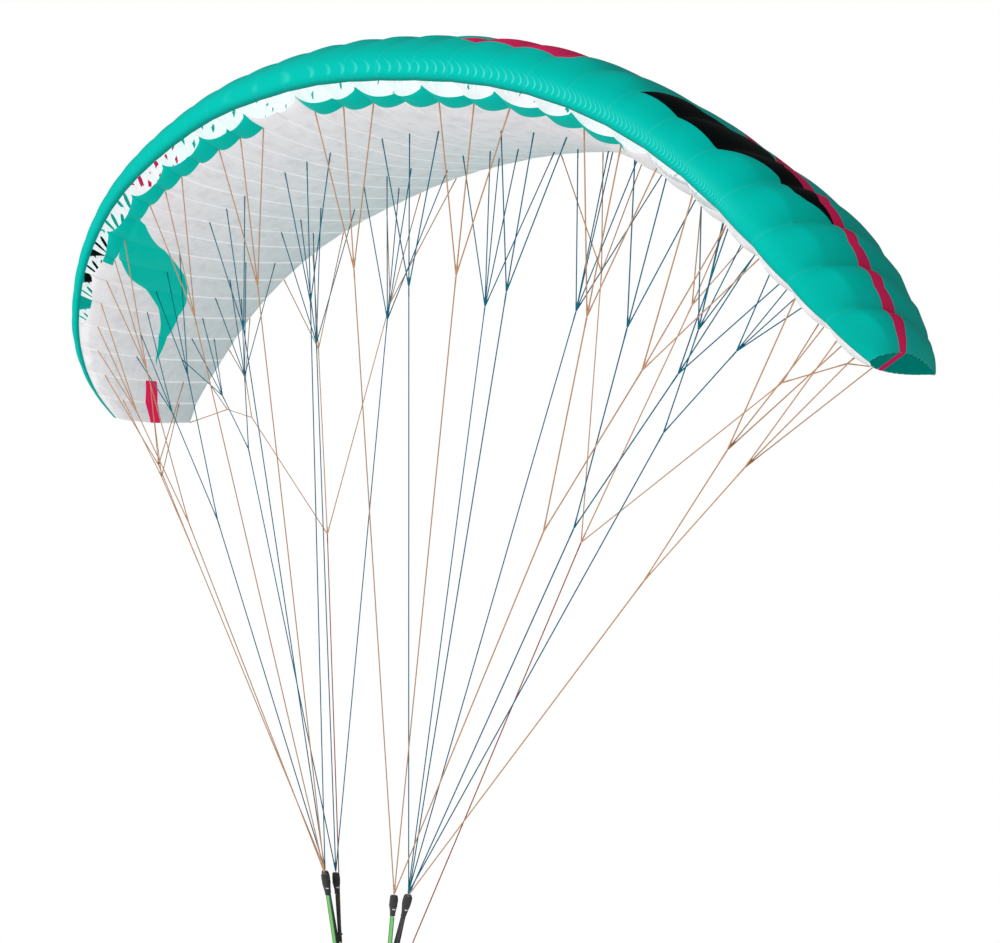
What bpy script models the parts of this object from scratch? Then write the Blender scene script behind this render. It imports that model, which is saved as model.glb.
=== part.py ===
"""Paraglider wing as it flies: canopy skins, ribs, suspension lines, line covers, risers and brakes.

Metres. +X runs along the span, -Y points at the leading edge, +Z is up.
The origin lies midway between the two harness loops at the foot of the risers.
"""
import math

import bmesh
import bpy
import numpy as np
from mathutils import Matrix, Vector

# Driving dimensions ---------------------------------------------------------------------------------
HALF_CELLS = 17             # cells from mid span to a wing tip; rib 0 is mid span, rib 17 the tip
HALF_ARC = 4.000            # half span along the cloth, at the A line row
CELL_TAPER = 0.075          # how much narrower than average the tip cells are
ROW_HEIGHT = 5.305          # A line row above the harness loops, at mid span
SKIN = 0.0015               # cloth of the skins
RIB_CLOTH = 0.0010          # cloth of the ribs
SEAM_TRIM = 0.0002          # each panel stops this far short of a seam
SKIN_LIFT = 0.0010          # middle of a skin outside the ribs' outline
RIB_INSET = 0.0005          # rib edge inside the same outline

# One row per measured rib: arc angle, place of the A row along Y, chord, nose-up twist, outward toe.
STATION_COLUMNS = ("rib", "arc_deg", "row_y", "chord", "twist_deg", "toe_deg")
STATIONS = (
    (0, 0.0, -0.626, 2.25, 2.9, 0.0),
    (3, 8.2, -0.602, 2.21, 2.8, 0.0),
    (6, 13.4, -0.533, 2.10, 2.7, 0.0),
    (9, 26.6, -0.433, 1.91, 2.3, 0.2),
    (12, 43.4, -0.290, 1.64, 1.9, 1.2),
    (14, 54.0, -0.145, 1.41, 1.9, 2.6),
    (15, 56.3, -0.038, 1.23, 1.2, 3.9),
    (16, 57.0, 0.108, 1.01, 0.4, 4.8),
    (17, 58.5, 0.310, 0.74, 0.9, 1.6),
)

# The top is flatter on the shorter ribs: (chord, share of the height left off), times (along, how much of that).
FLATTER = ((0.74, 0.00), (1.01, -0.04), (1.23, -0.07), (1.45, -0.06), (1.53, 0.00), (1.60, 0.06), (1.69, 0.15),
           (1.855, 0.145), (1.94, 0.12), (2.01, 0.09), (2.145, 0.00))
FLATTER_ALONG = ((0.09, 0.00), (0.14, 0.15), (0.20, 0.45), (0.25, 0.65), (0.30, 0.82), (0.40, 1.00), (0.60, 1.00),
                 (0.80, 0.80), (1.00, 0.50))

# Rib outline in shares of the chord: (along, up) from the nose, up measured from the A row to tail line.
LIP = (0.020, 0.037)        # upper lip of the air inlet
NOSE = (0.000, 0.058)
CREST = (0.270, 0.172)
TAIL = (1.000, 0.000)
TOP_CURVES = (              # cubic curves with their number of facets
    ((LIP, (0.008, 0.040), (0.000, 0.048), NOSE), 2),
    ((NOSE, (-0.004, 0.118), (0.100, 0.172), CREST), 5),
    ((CREST, (0.480, 0.172), (0.760, 0.075), TAIL), 7),
)
NOSE_BAND_FACETS = 4        # of those facets, the ones that the nose band covers
UNDERSIDE = (               # (along, up) through the line rows
    LIP,
    (0.040, 0.030),
    (0.068, 0.014),
    (0.110, 0.000),
    (0.350, -0.0345),
    (0.680, -0.0356),
    (0.840, -0.0211),
    TAIL,
)
A_ROW = 0.110
LINE_ROWS = {"A": A_ROW, "B": 0.350, "C": 0.677, "D": 0.838, "tail": 1.000}
BACK_SHARES = (A_ROW, 0.20, 0.35, 0.50, 0.68, 0.84, 1.00)
TIP_SHARES = (LIP[0], 0.040, 0.068, *BACK_SHARES)
FRONT_EDGE_AT_INLET_WALL = 0.040    # lower lip of the inlets, at odd ribs
FRONT_EDGE_AT_MIDDLE_RIB = 0.068    # at even ribs
FRONT_EDGE_BETWEEN = 0.062          # half way between ribs
FRONT_BAND_STEPS = np.array([0.0, 0.4, 1.0])    # the same facets as the ribs have at the inlet walls
RIB_REACH = 0.8             # how far a rib goes on from its last facet's start towards the tail

# Panels across the span: name, first rib, last rib. Air inlets lie between the odd ribs up to 13.
FRONT_BANDS = (
    ("left_outer", -13, -7),
    ("left_inner", -7, -1),
    ("centre", -1, 1),
    ("right_inner", 1, 7),
    ("right_outer", 7, 13),
)
LOWER_PANELS = (
    ("left_tip", -17, -13),
    ("left", -13, -5),
    ("middle", -5, 5),
    ("right", 5, 13),
    ("right_tip", 13, 17),
)

# Outward bulge of a cell at mid width, as a share of the cell's width, by place along the chord.
TOP_BULGE = ((0.00, 0.045), (0.10, 0.085), (0.60, 0.085), (1.00, 0.030))
TOP_BULGE_AT_TIP = 1.7
UNDER_BULGE = ((0.02, 0.020), (0.06, 0.120), (0.13, 0.150), (0.35, 0.080), (1.00, 0.015))

# Lines: (knot, x, y, z) on the right side.
LINE_RADIUS = 0.0040
KNOT_RADIUS = 0.0078
LINE_END_GAP = 0.0009
LINE_TAPER = 0.014
KNOTS = {
    "A1": (0.470, -0.503, 4.345),
    "A2": (1.262, -0.441, 4.222),
    "A3": (1.691, -0.194, 2.795),
    "A3a": (2.084, -0.302, 3.930),
    "A3b": (2.369, -0.208, 3.635),
    "B1": (0.478, -0.061, 4.287),
    "B2": (1.265, -0.027, 4.177),
    "B3": (1.697, 0.061, 2.809),
    "B3a": (2.078, 0.054, 3.905),
    "B3b": (2.372, 0.110, 3.639),
    "C1": (0.475, 0.632, 4.239),
    "C2": (1.253, 0.627, 4.133),
    "C3": (1.971, 0.540, 3.354),
    "C3a": (2.150, 0.632, 3.941),
    "C3b": (2.417, 0.611, 3.797),
    "S": (2.113, 0.154, 2.528),
    "S1": (2.642, 0.165, 3.232),
    "S2": (2.703, 0.233, 3.140),
    "guide": (0.3175, 0.0796, 0.080),
    "K": (1.223, 0.712, 2.701),
    "K1": (1.029, 1.168, 4.470),
    "K2": (1.795, 1.093, 4.167),
    "K3": (2.498, 0.962, 3.639),
    "K3a": (2.699, 1.045, 3.985),
    "K3b": (2.887, 0.995, 3.724),
}
# Each cascade: knot below, then the knots or (row, rib) places that its lines go up to.
CASCADES = {
    "A": (
        ("riser", ("A1", "A2", "A3")),
        ("A1", (("A", 1), ("A", 2), ("A", 3))),
        ("A2", (("A", 5), ("A", 6), ("A", 7))),
        ("A3", ("A3a", "A3b")),
        ("A3a", (("A", 9), ("A", 10), ("A", 11))),
        ("A3b", (("A", 12), ("A", 13), ("A", 14))),
    ),
    "B": (
        ("riser", ("B1", "B2", "B3", "S")),
        ("B1", (("B", 1), ("B", 2), ("B", 3))),
        ("B2", (("B", 5), ("B", 6), ("B", 7))),
        ("B3", ("B3a", "B3b")),
        ("B3a", (("B", 9), ("B", 10), ("B", 11))),
        ("B3b", (("B", 12), ("B", 13), ("B", 14))),
        ("S", ("S1", "S2")),
        ("S1", ((0.13, 15), (0.47, 15), (0.76, 15))),
        ("S2", ((0.22, 16), (0.50, 16), (0.79, 16))),
    ),
    "C": (
        ("riser", ("C1", "C2", "C3")),
        ("C1", (("C", 1), ("C", 2), ("C", 3), ("D", 1), ("D", 3))),
        ("C2", (("C", 5), ("C", 6), ("C", 7), ("D", 5), ("D", 7))),
        ("C3", ("C3a", "C3b")),
        ("C3a", (("C", 9), ("C", 10), ("C", 11), ("D", 9), ("D", 11))),
        ("C3b", (("C", 12), ("C", 13), ("C", 14), ("D", 13))),
    ),
    "brake": (
        ("handle", ("guide",)),
        ("guide", ("K",)),
        ("K", ("K1", "K2", "K3")),
        ("K1", (("tail", 2), ("tail", 3.5), ("tail", 5))),
        ("K2", (("tail", 7), ("tail", 8.5), ("tail", 10))),
        ("K3", ("K3a", "K3b")),
        ("K3a", (("tail", 12), ("tail", 13.5))),
        ("K3b", (("tail", 15), ("tail", 17))),
    ),
}

# Risers: top of each line cover, on the right side.
RISER_TOPS = {
    "A": (0.336, -0.046, 0.500),
    "B": (0.404, 0.014, 0.495),
    "C": (0.349, 0.061, 0.483),
}
RISER_FOOT = {"A": (0.257, -0.023, 0.0), "B": (0.257, 0.000, 0.0), "C": (0.257, 0.023, 0.0)}
WEBBING = (0.038, 0.0030)   # width and thickness
COVER_LENGTH = 0.132
COVER_HALF = (0.031, 0.021) # half width along X and half depth along Y
COVER_SHAPE = ((0.00, 0.70), (0.08, 0.92), (0.25, 1.00), (0.50, 0.98), (0.70, 0.78), (0.86, 0.66), (1.00, 0.64))
COVER_SIDES = 12
LOOP_HALF = (0.036, 0.052)  # outer half depth along Y and half height of a harness loop
LOOP_CLOTH = 0.006
RING_RADIUS = 0.013         # brake guide ring behind the C riser, about the knot "guide"
RING_HOLE = 0.0085
RING_HALF_THICKNESS = 0.002
RING_STEPS = 12
TAB_HALF = 0.007
TAB_GAP = 0.0006
HANDLE_TOP = (0.3180, 0.0850, -0.010)
HANDLE_SIZE = (0.090, 0.120)        # depth along Y and height
HANDLE_NECK = 0.014                 # half depth of its flat top
SOLID_GAP = 0.0003

COLOURS = {
    "nose_cloth": (0.00, 0.60, 0.52),
    "upper_cloth": (0.00, 0.42, 0.36),
    "front_cloth": (0.00, 0.52, 0.46),
    "lower_cloth": (0.82, 0.83, 0.84),
    "rib_cloth": (0.88, 0.88, 0.88),
    "line_orange": (0.86, 0.42, 0.20),
    "line_blue": (0.05, 0.36, 0.56),
    "line_brake": (0.86, 0.36, 0.22),
    "webbing_green": (0.20, 0.75, 0.18),
    "webbing_black": (0.03, 0.03, 0.035),
    "cover_cloth": (0.05, 0.05, 0.06),
}
ROUGHNESS = 0.6


# Tables and curves ----------------------------------------------------------------------------------
def through(xs, ys, x):
    """Smooth curve through the table (xs, ys): cubic pieces whose slopes are the mean of their sides."""
    xs = np.asarray(xs, float)
    ys = np.asarray(ys, float)
    step = np.diff(xs)
    rise = np.diff(ys) / step
    slope = np.concatenate([[rise[0]], (step[1:] * rise[:-1] + step[:-1] * rise[1:]) / (step[1:] + step[:-1]),
                            [rise[-1]]])
    k = np.clip(np.searchsorted(xs, x, side="right") - 1, 0, len(xs) - 2)
    t = (x - xs[k]) / step[k]
    from_left = ys[k] * (2 * t**3 - 3 * t**2 + 1) + slope[k] * step[k] * (t**3 - 2 * t**2 + t)
    from_right = ys[k + 1] * (3 * t**2 - 2 * t**3) + slope[k + 1] * step[k] * (t**3 - t**2)
    return from_left + from_right


def station(column, rib):
    """Value of one STATIONS column at any rib number, the same on both sides, level at mid span."""
    rows = sorted({(sign * row[0], row[STATION_COLUMNS.index(column)]) for row in STATIONS for sign in (-1, 1)})
    return through([r for r, _ in rows], [v for _, v in rows], np.abs(rib))


def arc_length(rib):
    """Distance along the A row from mid span; cells shrink towards the tip."""
    share = np.abs(rib) / HALF_CELLS
    return HALF_ARC * ((1 + CELL_TAPER) * share - CELL_TAPER * share**3)


def cell_width(rib):
    """Width of the cells near a rib: the slope of arc_length."""
    share = np.abs(rib) / HALF_CELLS
    return HALF_ARC / HALF_CELLS * ((1 + CELL_TAPER) - 3 * CELL_TAPER * share**2)


ARC_RIBS = np.linspace(0, HALF_CELLS, 681)
ARC_ANGLES = np.radians(station("arc_deg", ARC_RIBS))
ARC_STEPS = np.diff(arc_length(ARC_RIBS))
ARC_MIDDLES = (ARC_ANGLES[1:] + ARC_ANGLES[:-1]) / 2
ARC_X = np.concatenate([[0], np.cumsum(ARC_STEPS * np.cos(ARC_MIDDLES))])
ARC_DROP = np.concatenate([[0], np.cumsum(ARC_STEPS * np.sin(ARC_MIDDLES))])


def rib_frame(rib):
    """A row point, unit chord direction, unit outward direction and chord of ribs (an array of numbers)."""
    rib = np.asarray(rib, float)
    side = np.sign(rib)
    x = np.interp(np.abs(rib), ARC_RIBS, ARC_X) * side
    z = ROW_HEIGHT - np.interp(np.abs(rib), ARC_RIBS, ARC_DROP)
    row_point = np.stack([x, station("row_y", rib), z], -1)
    angle = np.radians(station("arc_deg", rib)) * side
    toe = np.radians(station("toe_deg", rib)) * side
    twist = np.radians(station("twist_deg", rib))[..., None]
    nothing = np.zeros_like(x)
    back = np.stack([np.sin(toe), np.cos(toe), nothing], -1)
    out = np.stack([np.sin(angle), nothing, np.cos(angle)], -1)
    out = out - (out * back).sum(-1, keepdims=True) * back
    out = out / np.linalg.norm(out, axis=-1, keepdims=True)
    along = np.cos(twist) * back + np.sin(twist) * out
    out = np.cos(twist) * out - np.sin(twist) * back
    return row_point, along, out, station("chord", rib)


def underside(along):
    """Height of the underside over the A row to tail line, in chords."""
    return through([row[0] for row in UNDERSIDE], [row[1] for row in UNDERSIDE], along)


def top_outline():
    """Points (along, up) from the inlet lip round the nose and over the crest to the tail."""
    points = [LIP]
    for (a, b, c, d), facets in TOP_CURVES:
        for t in np.arange(1, facets + 1) / facets:
            weights = ((1 - t)**3, 3 * t * (1 - t)**2, 3 * t**2 * (1 - t), t**3)
            points.append(tuple(sum(w * p[k] for w, p in zip(weights, (a, b, c, d))) for k in (0, 1)))
    return np.array(points)


def top_normals():
    """Unit outward normals (along, up) at the points of top_outline."""
    slope = np.gradient(top_outline(), axis=0)
    normal = np.stack([-slope[:, 1], slope[:, 0]], -1)
    return normal / np.linalg.norm(normal, axis=-1, keepdims=True)


def under_outline(along):
    """Points (along, up) of the underside at given shares of the chord."""
    along = np.asarray(along, float)
    return np.stack([along, underside(along)], -1)


def under_normals(along):
    """Unit outward normals (along, up) of the underside at given shares of the chord."""
    along = np.asarray(along, float)
    reach = 0.004
    normal = np.stack([underside(along + reach) - underside(along - reach), -2 * reach + 0 * along], -1)
    return normal / np.linalg.norm(normal, axis=-1, keepdims=True)


def in_space(frame, outline):
    """Outline points (along, up) carried into space at ribs; frame is what rib_frame gives."""
    row_point, along, out, chord = (value[..., None, :] for value in (*frame[:3], frame[3][..., None]))
    flatter = np.interp(chord, *np.transpose(FLATTER)) * np.interp(outline[..., :1], *np.transpose(FLATTER_ALONG))
    up = outline[..., 1:] - flatter * np.maximum(outline[..., 1:], 0)
    return row_point + (outline[..., :1] - A_ROW) * chord * along + up * chord * out


def turned(frame, directions):
    """Directions (along, up) carried into space at ribs."""
    return directions[..., :1] * frame[1][..., None, :] + directions[..., 1:] * frame[2][..., None, :]


# Meshes ---------------------------------------------------------------------------------------------
def finish(obj, colour):
    """Give an object its own material."""
    material = bpy.data.materials.new(obj.name)
    material.use_nodes = True
    shader = material.node_tree.nodes["Principled BSDF"]
    shader.inputs["Base Color"].default_value = (*COLOURS[colour], 1)
    shader.inputs["Roughness"].default_value = ROUGHNESS
    shader.inputs["Metallic"].default_value = 0.0
    obj.data.materials.append(material)
    return obj


def mesh_object(name, points, faces, colour, smooth=True):
    """Closed mesh from points and faces, its faces turned outwards."""
    mesh = bpy.data.meshes.new(name)
    mesh.from_pydata([tuple(map(float, p)) for p in points], [], faces)
    work = bmesh.new()
    work.from_mesh(mesh)
    bmesh.ops.recalc_face_normals(work, faces=work.faces)
    work.to_mesh(mesh)
    work.free()
    if smooth:
        mesh.shade_smooth()
        mesh.set_sharp_from_angle(angle=math.radians(40))
    obj = bpy.data.objects.new(name, mesh)
    bpy.context.scene.collection.objects.link(obj)
    return finish(obj, colour)


def grid_faces(rows, columns, start, backwards):
    """Triangles of a grid of points numbered row by row from start."""
    faces = []
    for i in range(rows - 1):
        for j in range(columns - 1):
            a = start + i * columns + j
            b, c, d = a + 1, a + columns + 1, a + columns
            pair = [(a, b, c), (a, c, d)]
            faces += [face[::-1] for face in pair] if backwards else pair
    return faces


def sheet(name, middle, normal, thickness, colour):
    """Solid sheet: a grid of points thickened both ways along its normals."""
    rows, columns = middle.shape[:2]
    count = rows * columns
    points = np.concatenate([(middle + normal * thickness / 2).reshape(-1, 3),
                             (middle - normal * thickness / 2).reshape(-1, 3)])
    faces = grid_faces(rows, columns, 0, False) + grid_faces(rows, columns, count, True)
    rim = ([(0, j) for j in range(columns)] + [(i, columns - 1) for i in range(1, rows)]
           + [(rows - 1, j) for j in range(columns - 2, -1, -1)] + [(i, 0) for i in range(rows - 2, 0, -1)])
    rim = [i * columns + j for i, j in rim]
    for a, b in zip(rim, rim[1:] + rim[:1]):
        faces.append((a, b + count, b))
        faces.append((a, a + count, b + count))
    return mesh_object(name, points, faces, colour)


def prism(rings, closed=False):
    """Points and faces of a solid through equal rings of points, capped, or closed on itself."""
    size = len(rings[0])
    points = [point for ring in rings for point in ring]
    faces = []
    pairs = list(zip(range(len(rings)), range(1, len(rings))))
    if closed:
        pairs.append((len(rings) - 1, 0))
    for low, high in pairs:
        for k in range(size):
            m = (k + 1) % size
            faces.append((low * size + k, low * size + m, high * size + m, high * size + k))
    if not closed:
        faces.append(tuple(range(size))[::-1])
        faces.append(tuple(range(len(points) - size, len(points))))
    return points, faces


# Canopy ---------------------------------------------------------------------------------------------
def half_ribs(first, last):
    """Ribs and the middles of the cells between them."""
    return np.arange(2 * first, 2 * last + 1) / 2


def skin(name, ribs, outline, normals, bulge, colour):
    """Skin panel over ribs. outline and normals hold a line of (along, up) per rib, or one for all."""
    outline = np.broadcast_to(outline, (len(ribs), *np.shape(outline)[-2:]))
    frame = rib_frame(ribs)
    fullness = np.interp(outline[..., 0], *np.transpose(bulge))
    if bulge is TOP_BULGE:
        fullness = fullness * (1 + (TOP_BULGE_AT_TIP - 1) * (np.abs(ribs)[:, None] / HALF_CELLS)**2)
    between = (ribs % 1 > 0.25)[:, None]
    lift = SKIN_LIFT + between * fullness * cell_width(ribs)[:, None]
    normal = turned(frame, normals)
    middle = in_space(frame, outline) + lift[..., None] * normal
    for edge, inner in ((0, 1), (-1, -2)):
        step = middle[inner] - middle[edge]
        middle[edge] += SEAM_TRIM * step / np.linalg.norm(step, axis=-1, keepdims=True)
        step = middle[:, inner] - middle[:, edge]
        middle[:, edge] += SEAM_TRIM * step / np.linalg.norm(step, axis=-1, keepdims=True)
    return sheet(name, middle, normal, SKIN, colour)


def front_edge(ribs):
    """Share of the chord where the underside starts behind an inlet: a scalloped edge."""
    kind = np.where(ribs % 1 > 0.25, FRONT_EDGE_BETWEEN, FRONT_EDGE_AT_MIDDLE_RIB)
    return np.where(ribs % 2 == 1, FRONT_EDGE_AT_INLET_WALL, kind)


def nose_and_top():
    """Nose band and upper surface, in three panels each across the span."""
    outline = top_outline()
    normals = top_normals()
    for side, first, last in (("left", -17, -6), ("middle", -6, 6), ("right", 6, 17)):
        ribs = half_ribs(first, last)
        nose = slice(NOSE_BAND_FACETS + 1)
        rest = slice(NOSE_BAND_FACETS, None)
        skin(f"nose_{side}", ribs, outline[nose], normals[nose], TOP_BULGE, "nose_cloth")
        skin(f"upper_{side}", ribs, outline[rest], normals[rest], TOP_BULGE, "upper_cloth")


def bottom():
    """Scalloped front bands behind the inlets, and the lower surface."""
    for side, first, last in FRONT_BANDS:
        ribs = half_ribs(first, last)
        start = front_edge(ribs)[:, None]
        shares = start + (A_ROW - start) * FRONT_BAND_STEPS
        colour = "lower_cloth" if side == "centre" else "front_cloth"
        skin(f"front_{side}", ribs, under_outline(shares), under_normals(shares), UNDER_BULGE, colour)
    for side, first, last in LOWER_PANELS:
        shares = TIP_SHARES if "tip" in side else BACK_SHARES
        skin(f"lower_{side}", half_ribs(first, last), under_outline(shares), under_normals(shares),
             UNDER_BULGE, "lower_cloth")


def rib(number):
    """One rib: a flat sheet that fills the outline, just inside the skins."""
    top = top_outline()
    under = under_outline(TIP_SHARES)
    frame = rib_frame(float(number))
    top_points = in_space(frame, top) - RIB_INSET * turned(frame, top_normals())
    under_points = in_space(frame, under) - RIB_INSET * turned(frame, under_normals(TIP_SHARES))
    for points in (top_points, under_points):
        points[-1] = points[-2] + RIB_REACH * (points[-1] - points[-2])
    points = np.concatenate([top_points[::-1], under_points[1:]])
    across = np.cross(frame[1], frame[2]) * RIB_CLOTH / 2
    side = "right" if number > 0 else "left"
    points, faces = prism([points - across, points + across])
    mesh_object(f"rib_{side}_{abs(number):02d}", points, faces, "rib_cloth", smooth=False)


# Lines ----------------------------------------------------------------------------------------------
def ring_about(centre, direction, radius, sides):
    """Regular ring of points round an axis."""
    turn = Vector(direction).to_track_quat("Z", "Y")
    ring = []
    for k in range(sides):
        angle = 2 * math.pi * k / sides
        ring.append(Vector(centre) + turn @ Vector((radius * math.cos(angle), radius * math.sin(angle), 0)))
    return ring


def attachment(place):
    """Where a line meets the underside: just clear of the skin, at a (row, rib) place."""
    row, number = place
    share = [LINE_ROWS.get(row, row)]
    frame = rib_frame(float(number))
    middle_of_cell = 1 - abs(1 - 2 * (number % 1))
    lift = SKIN_LIFT + SKIN / 2 + LINE_END_GAP
    lift += middle_of_cell * cell_width(number) * float(np.interp(share, *np.transpose(UNDER_BULGE))[0])
    return Vector((in_space(frame, under_outline(share)) + lift * turned(frame, under_normals(share)))[0])


def line_piece(start, end, tapered):
    """One line as a six-sided rod; a tapered one ends in a thin loop end at the cloth."""
    way = (end - start).normalized()
    rings = [ring_about(start, way, LINE_RADIUS, 6)]
    if tapered:
        rings.append(ring_about(end - way * LINE_TAPER, way, LINE_RADIUS, 6))
        rings.append(ring_about(end, way, LINE_RADIUS / 5, 6))
    else:
        rings.append(ring_about(end, way, LINE_RADIUS, 6))
    return prism(rings)


def cascade(name, colour, mirror, feet, table):
    """All lines of one cascade on one side, joined at their knots into one body."""
    flip = Matrix.Diagonal((mirror, 1, 1))
    points = []
    faces = []
    used = set()
    for below, ups in table:
        start = flip @ Vector(feet.get(below) or KNOTS[below])
        used.add(tuple(start))
        for up in ups:
            end = flip @ (Vector(KNOTS[up]) if up in KNOTS else attachment(up))
            more_points, more_faces = line_piece(start, end, up not in KNOTS)
            faces += [tuple(k + len(points) for k in face) for face in more_faces]
            points += more_points
    obj = mesh_object(name, points, faces, colour)
    knot_mesh = bpy.data.meshes.new(f"{name}_knots")
    knots = bmesh.new()
    for place in sorted(used):
        bmesh.ops.create_icosphere(knots, subdivisions=1, radius=KNOT_RADIUS, matrix=Matrix.Translation(place))
    knots.to_mesh(knot_mesh)
    knots.free()
    cutter = bpy.data.objects.new(f"{name}_knots", knot_mesh)
    bpy.context.scene.collection.objects.link(cutter)
    cutter.hide_render = True
    cutter.display_type = "WIRE"
    join = obj.modifiers.new("join", "BOOLEAN")
    join.operation = "UNION"
    join.solver = "EXACT"
    join.use_self = True
    join.object = cutter
    return obj


# Risers ---------------------------------------------------------------------------------------------
def strap(name, start, end, colour):
    """Flat webbing between two points, its width along X."""
    start, end = Vector(start), Vector(end)
    way = (end - start).normalized()
    width = Vector((1, 0, 0))
    width = (width - width.dot(way) * way).normalized() * WEBBING[0] / 2
    depth = way.cross(width).normalized() * WEBBING[1] / 2
    rings = []
    for share in (0, 0.25, 0.5, 0.75, 1):
        centre = start.lerp(end, share)
        rings.append([centre - width - depth, centre + width - depth, centre + width + depth,
                      centre - width + depth])
    points, faces = prism(rings)
    return mesh_object(name, points, faces, colour, smooth=False)


def cover(name, top, way):
    """Soft sleeve over the shackle at a riser's top: an oval bag, narrower at its ends."""
    rings = []
    for share, girth in COVER_SHAPE:
        centre = top - way * COVER_LENGTH * share / way.z
        angles = [2 * math.pi * k / COVER_SIDES for k in range(COVER_SIDES)]
        rings.append([centre + girth * Vector((COVER_HALF[0] * math.cos(a), COVER_HALF[1] * math.sin(a), 0))
                      for a in angles])
    points, faces = prism(rings)
    return mesh_object(name, points, faces, "cover_cloth")


def band(name, outline, width, thickness, colour, centre_x):
    """Closed loop of webbing: an outline in the YZ plane, thickened inwards, its width along X."""
    count = len(outline)
    rings = []
    for k, (y, z) in enumerate(outline):
        before = Vector(outline[k - 1])
        after = Vector(outline[(k + 1) % count])
        way = (after - before).normalized()
        inward = Vector((-way.y, way.x)) * thickness
        low, high = centre_x - width / 2, centre_x + width / 2
        rings.append([Vector((low, y, z)), Vector((high, y, z)), Vector((high, y + inward.x, z + inward.y)),
                      Vector((low, y + inward.x, z + inward.y))])
    points, faces = prism(rings, closed=True)
    return mesh_object(name, points, faces, colour, smooth=False)


def rounded_box(half_y, half_z, corner, steps=3):
    """Rounded rectangle about the origin, counter-clockwise, with flat sides."""
    outline = []
    for quarter, (sy, sz) in enumerate(((1, 1), (-1, 1), (-1, -1), (1, -1))):
        for k in range(steps + 1):
            angle = math.pi / 2 * (quarter + k / steps)
            outline.append((sy * (half_y - corner) + corner * math.cos(angle),
                            sz * (half_z - corner) + corner * math.sin(angle)))
    return outline


def risers(side, mirror):
    """Harness loop, three straps and three line covers of one side."""
    flip = Matrix.Diagonal((mirror, 1, 1))
    loop_x = RISER_FOOT["A"][0] * mirror
    band(f"harness_loop_{side}", rounded_box(*LOOP_HALF, 0.016), WEBBING[0], LOOP_CLOTH, "webbing_black", loop_x)
    for row, top in RISER_TOPS.items():
        top = flip @ Vector(top)
        foot = flip @ (Vector(RISER_FOOT[row]) + Vector((0, 0, LOOP_HALF[1])))
        way = (top - foot).normalized()
        cover(f"cover_{row}_{side}", top, way)
        lean = WEBBING[0] / 2 * abs(way.x) + WEBBING[1] / 2 * abs(way.y)
        colour = "webbing_green" if row == "A" else "webbing_black"
        strap(f"riser_{row}_{side}", foot + way * (lean + SOLID_GAP) / way.z,
              top - way * (COVER_LENGTH + lean + SOLID_GAP) / way.z, colour)


def guide_plate(name, centre, tab_end, tab_normal):
    """Flat ring that the brake line runs through, with a tab that reaches back to the riser."""
    reach = (centre - tab_end).normalized()
    across = reach.cross(Vector((0, 0, 1))).normalized()
    lead = math.asin(TAB_HALF / RING_RADIUS)
    outer = []
    for k in range(RING_STEPS + 1):
        angle = (math.pi - lead) * (2 * k / RING_STEPS - 1)
        outer.append(centre + RING_RADIUS * (reach * math.cos(angle) + across * math.sin(angle)))
    for place, side in ((0, -1), (len(outer) + 1, 1)):
        corner = tab_end + across * TAB_HALF * side
        corner += reach * (tab_end - corner).dot(tab_normal) / reach.dot(tab_normal)
        outer.insert(place, corner)
    count = len(outer)
    inner = []
    for k in range(count):
        angle = math.pi * (2 * (k + 0.5) / count - 1)
        inner.append(centre + RING_HOLE * (reach * math.cos(angle) + across * math.sin(angle)))
    half = Vector((0, 0, RING_HALF_THICKNESS))
    rings = [[o - half, o + half, i + half, i - half] for o, i in zip(outer, inner)]
    points, faces = prism(rings, closed=True)
    return mesh_object(name, points, faces, "webbing_black", smooth=False)


def rounded_corners(corners, radii, steps=4):
    """Closed outline with round corners, in the order of its corners."""
    outline = []
    for k, radius in enumerate(radii):
        corner = Vector(corners[k])
        before = (Vector(corners[k - 1]) - corner).normalized()
        after = (Vector(corners[(k + 1) % len(corners)]) - corner).normalized()
        half = before.angle(after) / 2
        centre = corner + (before + after).normalized() * radius / math.sin(half)
        first = corner + before * radius / math.tan(half) - centre
        last = corner + after * radius / math.tan(half) - centre
        sweep = first.angle_signed(last)
        for j in range(steps + 1):
            turn = Matrix.Rotation(-sweep * j / steps, 2)
            outline.append(tuple(centre + turn @ first))
    return outline


def brake_fittings(side, mirror):
    """Guide ring on its tab behind the C riser, and the soft brake handle below it."""
    flip = Matrix.Diagonal((mirror, 1, 1))
    top = flip @ Vector(RISER_TOPS["C"])
    foot = flip @ (Vector(RISER_FOOT["C"]) + Vector((0, 0, LOOP_HALF[1])))
    way = (top - foot).normalized()
    centre = flip @ Vector(KNOTS["guide"])
    on_strap = foot + way * (centre.z - foot.z) / way.z
    rearward = Vector((0, 1, 0)) - way.y * way
    rearward.normalize()
    tab_end = on_strap + rearward * (WEBBING[1] / 2 + TAB_GAP)
    guide_plate(f"brake_guide_{side}", centre, tab_end, rearward)
    x, y, z = flip @ Vector(HANDLE_TOP)
    depth, height = HANDLE_SIZE
    z -= KNOT_RADIUS + SOLID_GAP
    corners = ((y - depth / 2, z - height), (y + depth / 2, z - height), (y + HANDLE_NECK, z), (y - HANDLE_NECK, z))
    outline = rounded_corners(corners, (0.020, 0.020, 0.008, 0.008))
    band(f"brake_handle_{side}", outline, 0.022, 0.005, "webbing_black", x)


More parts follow.
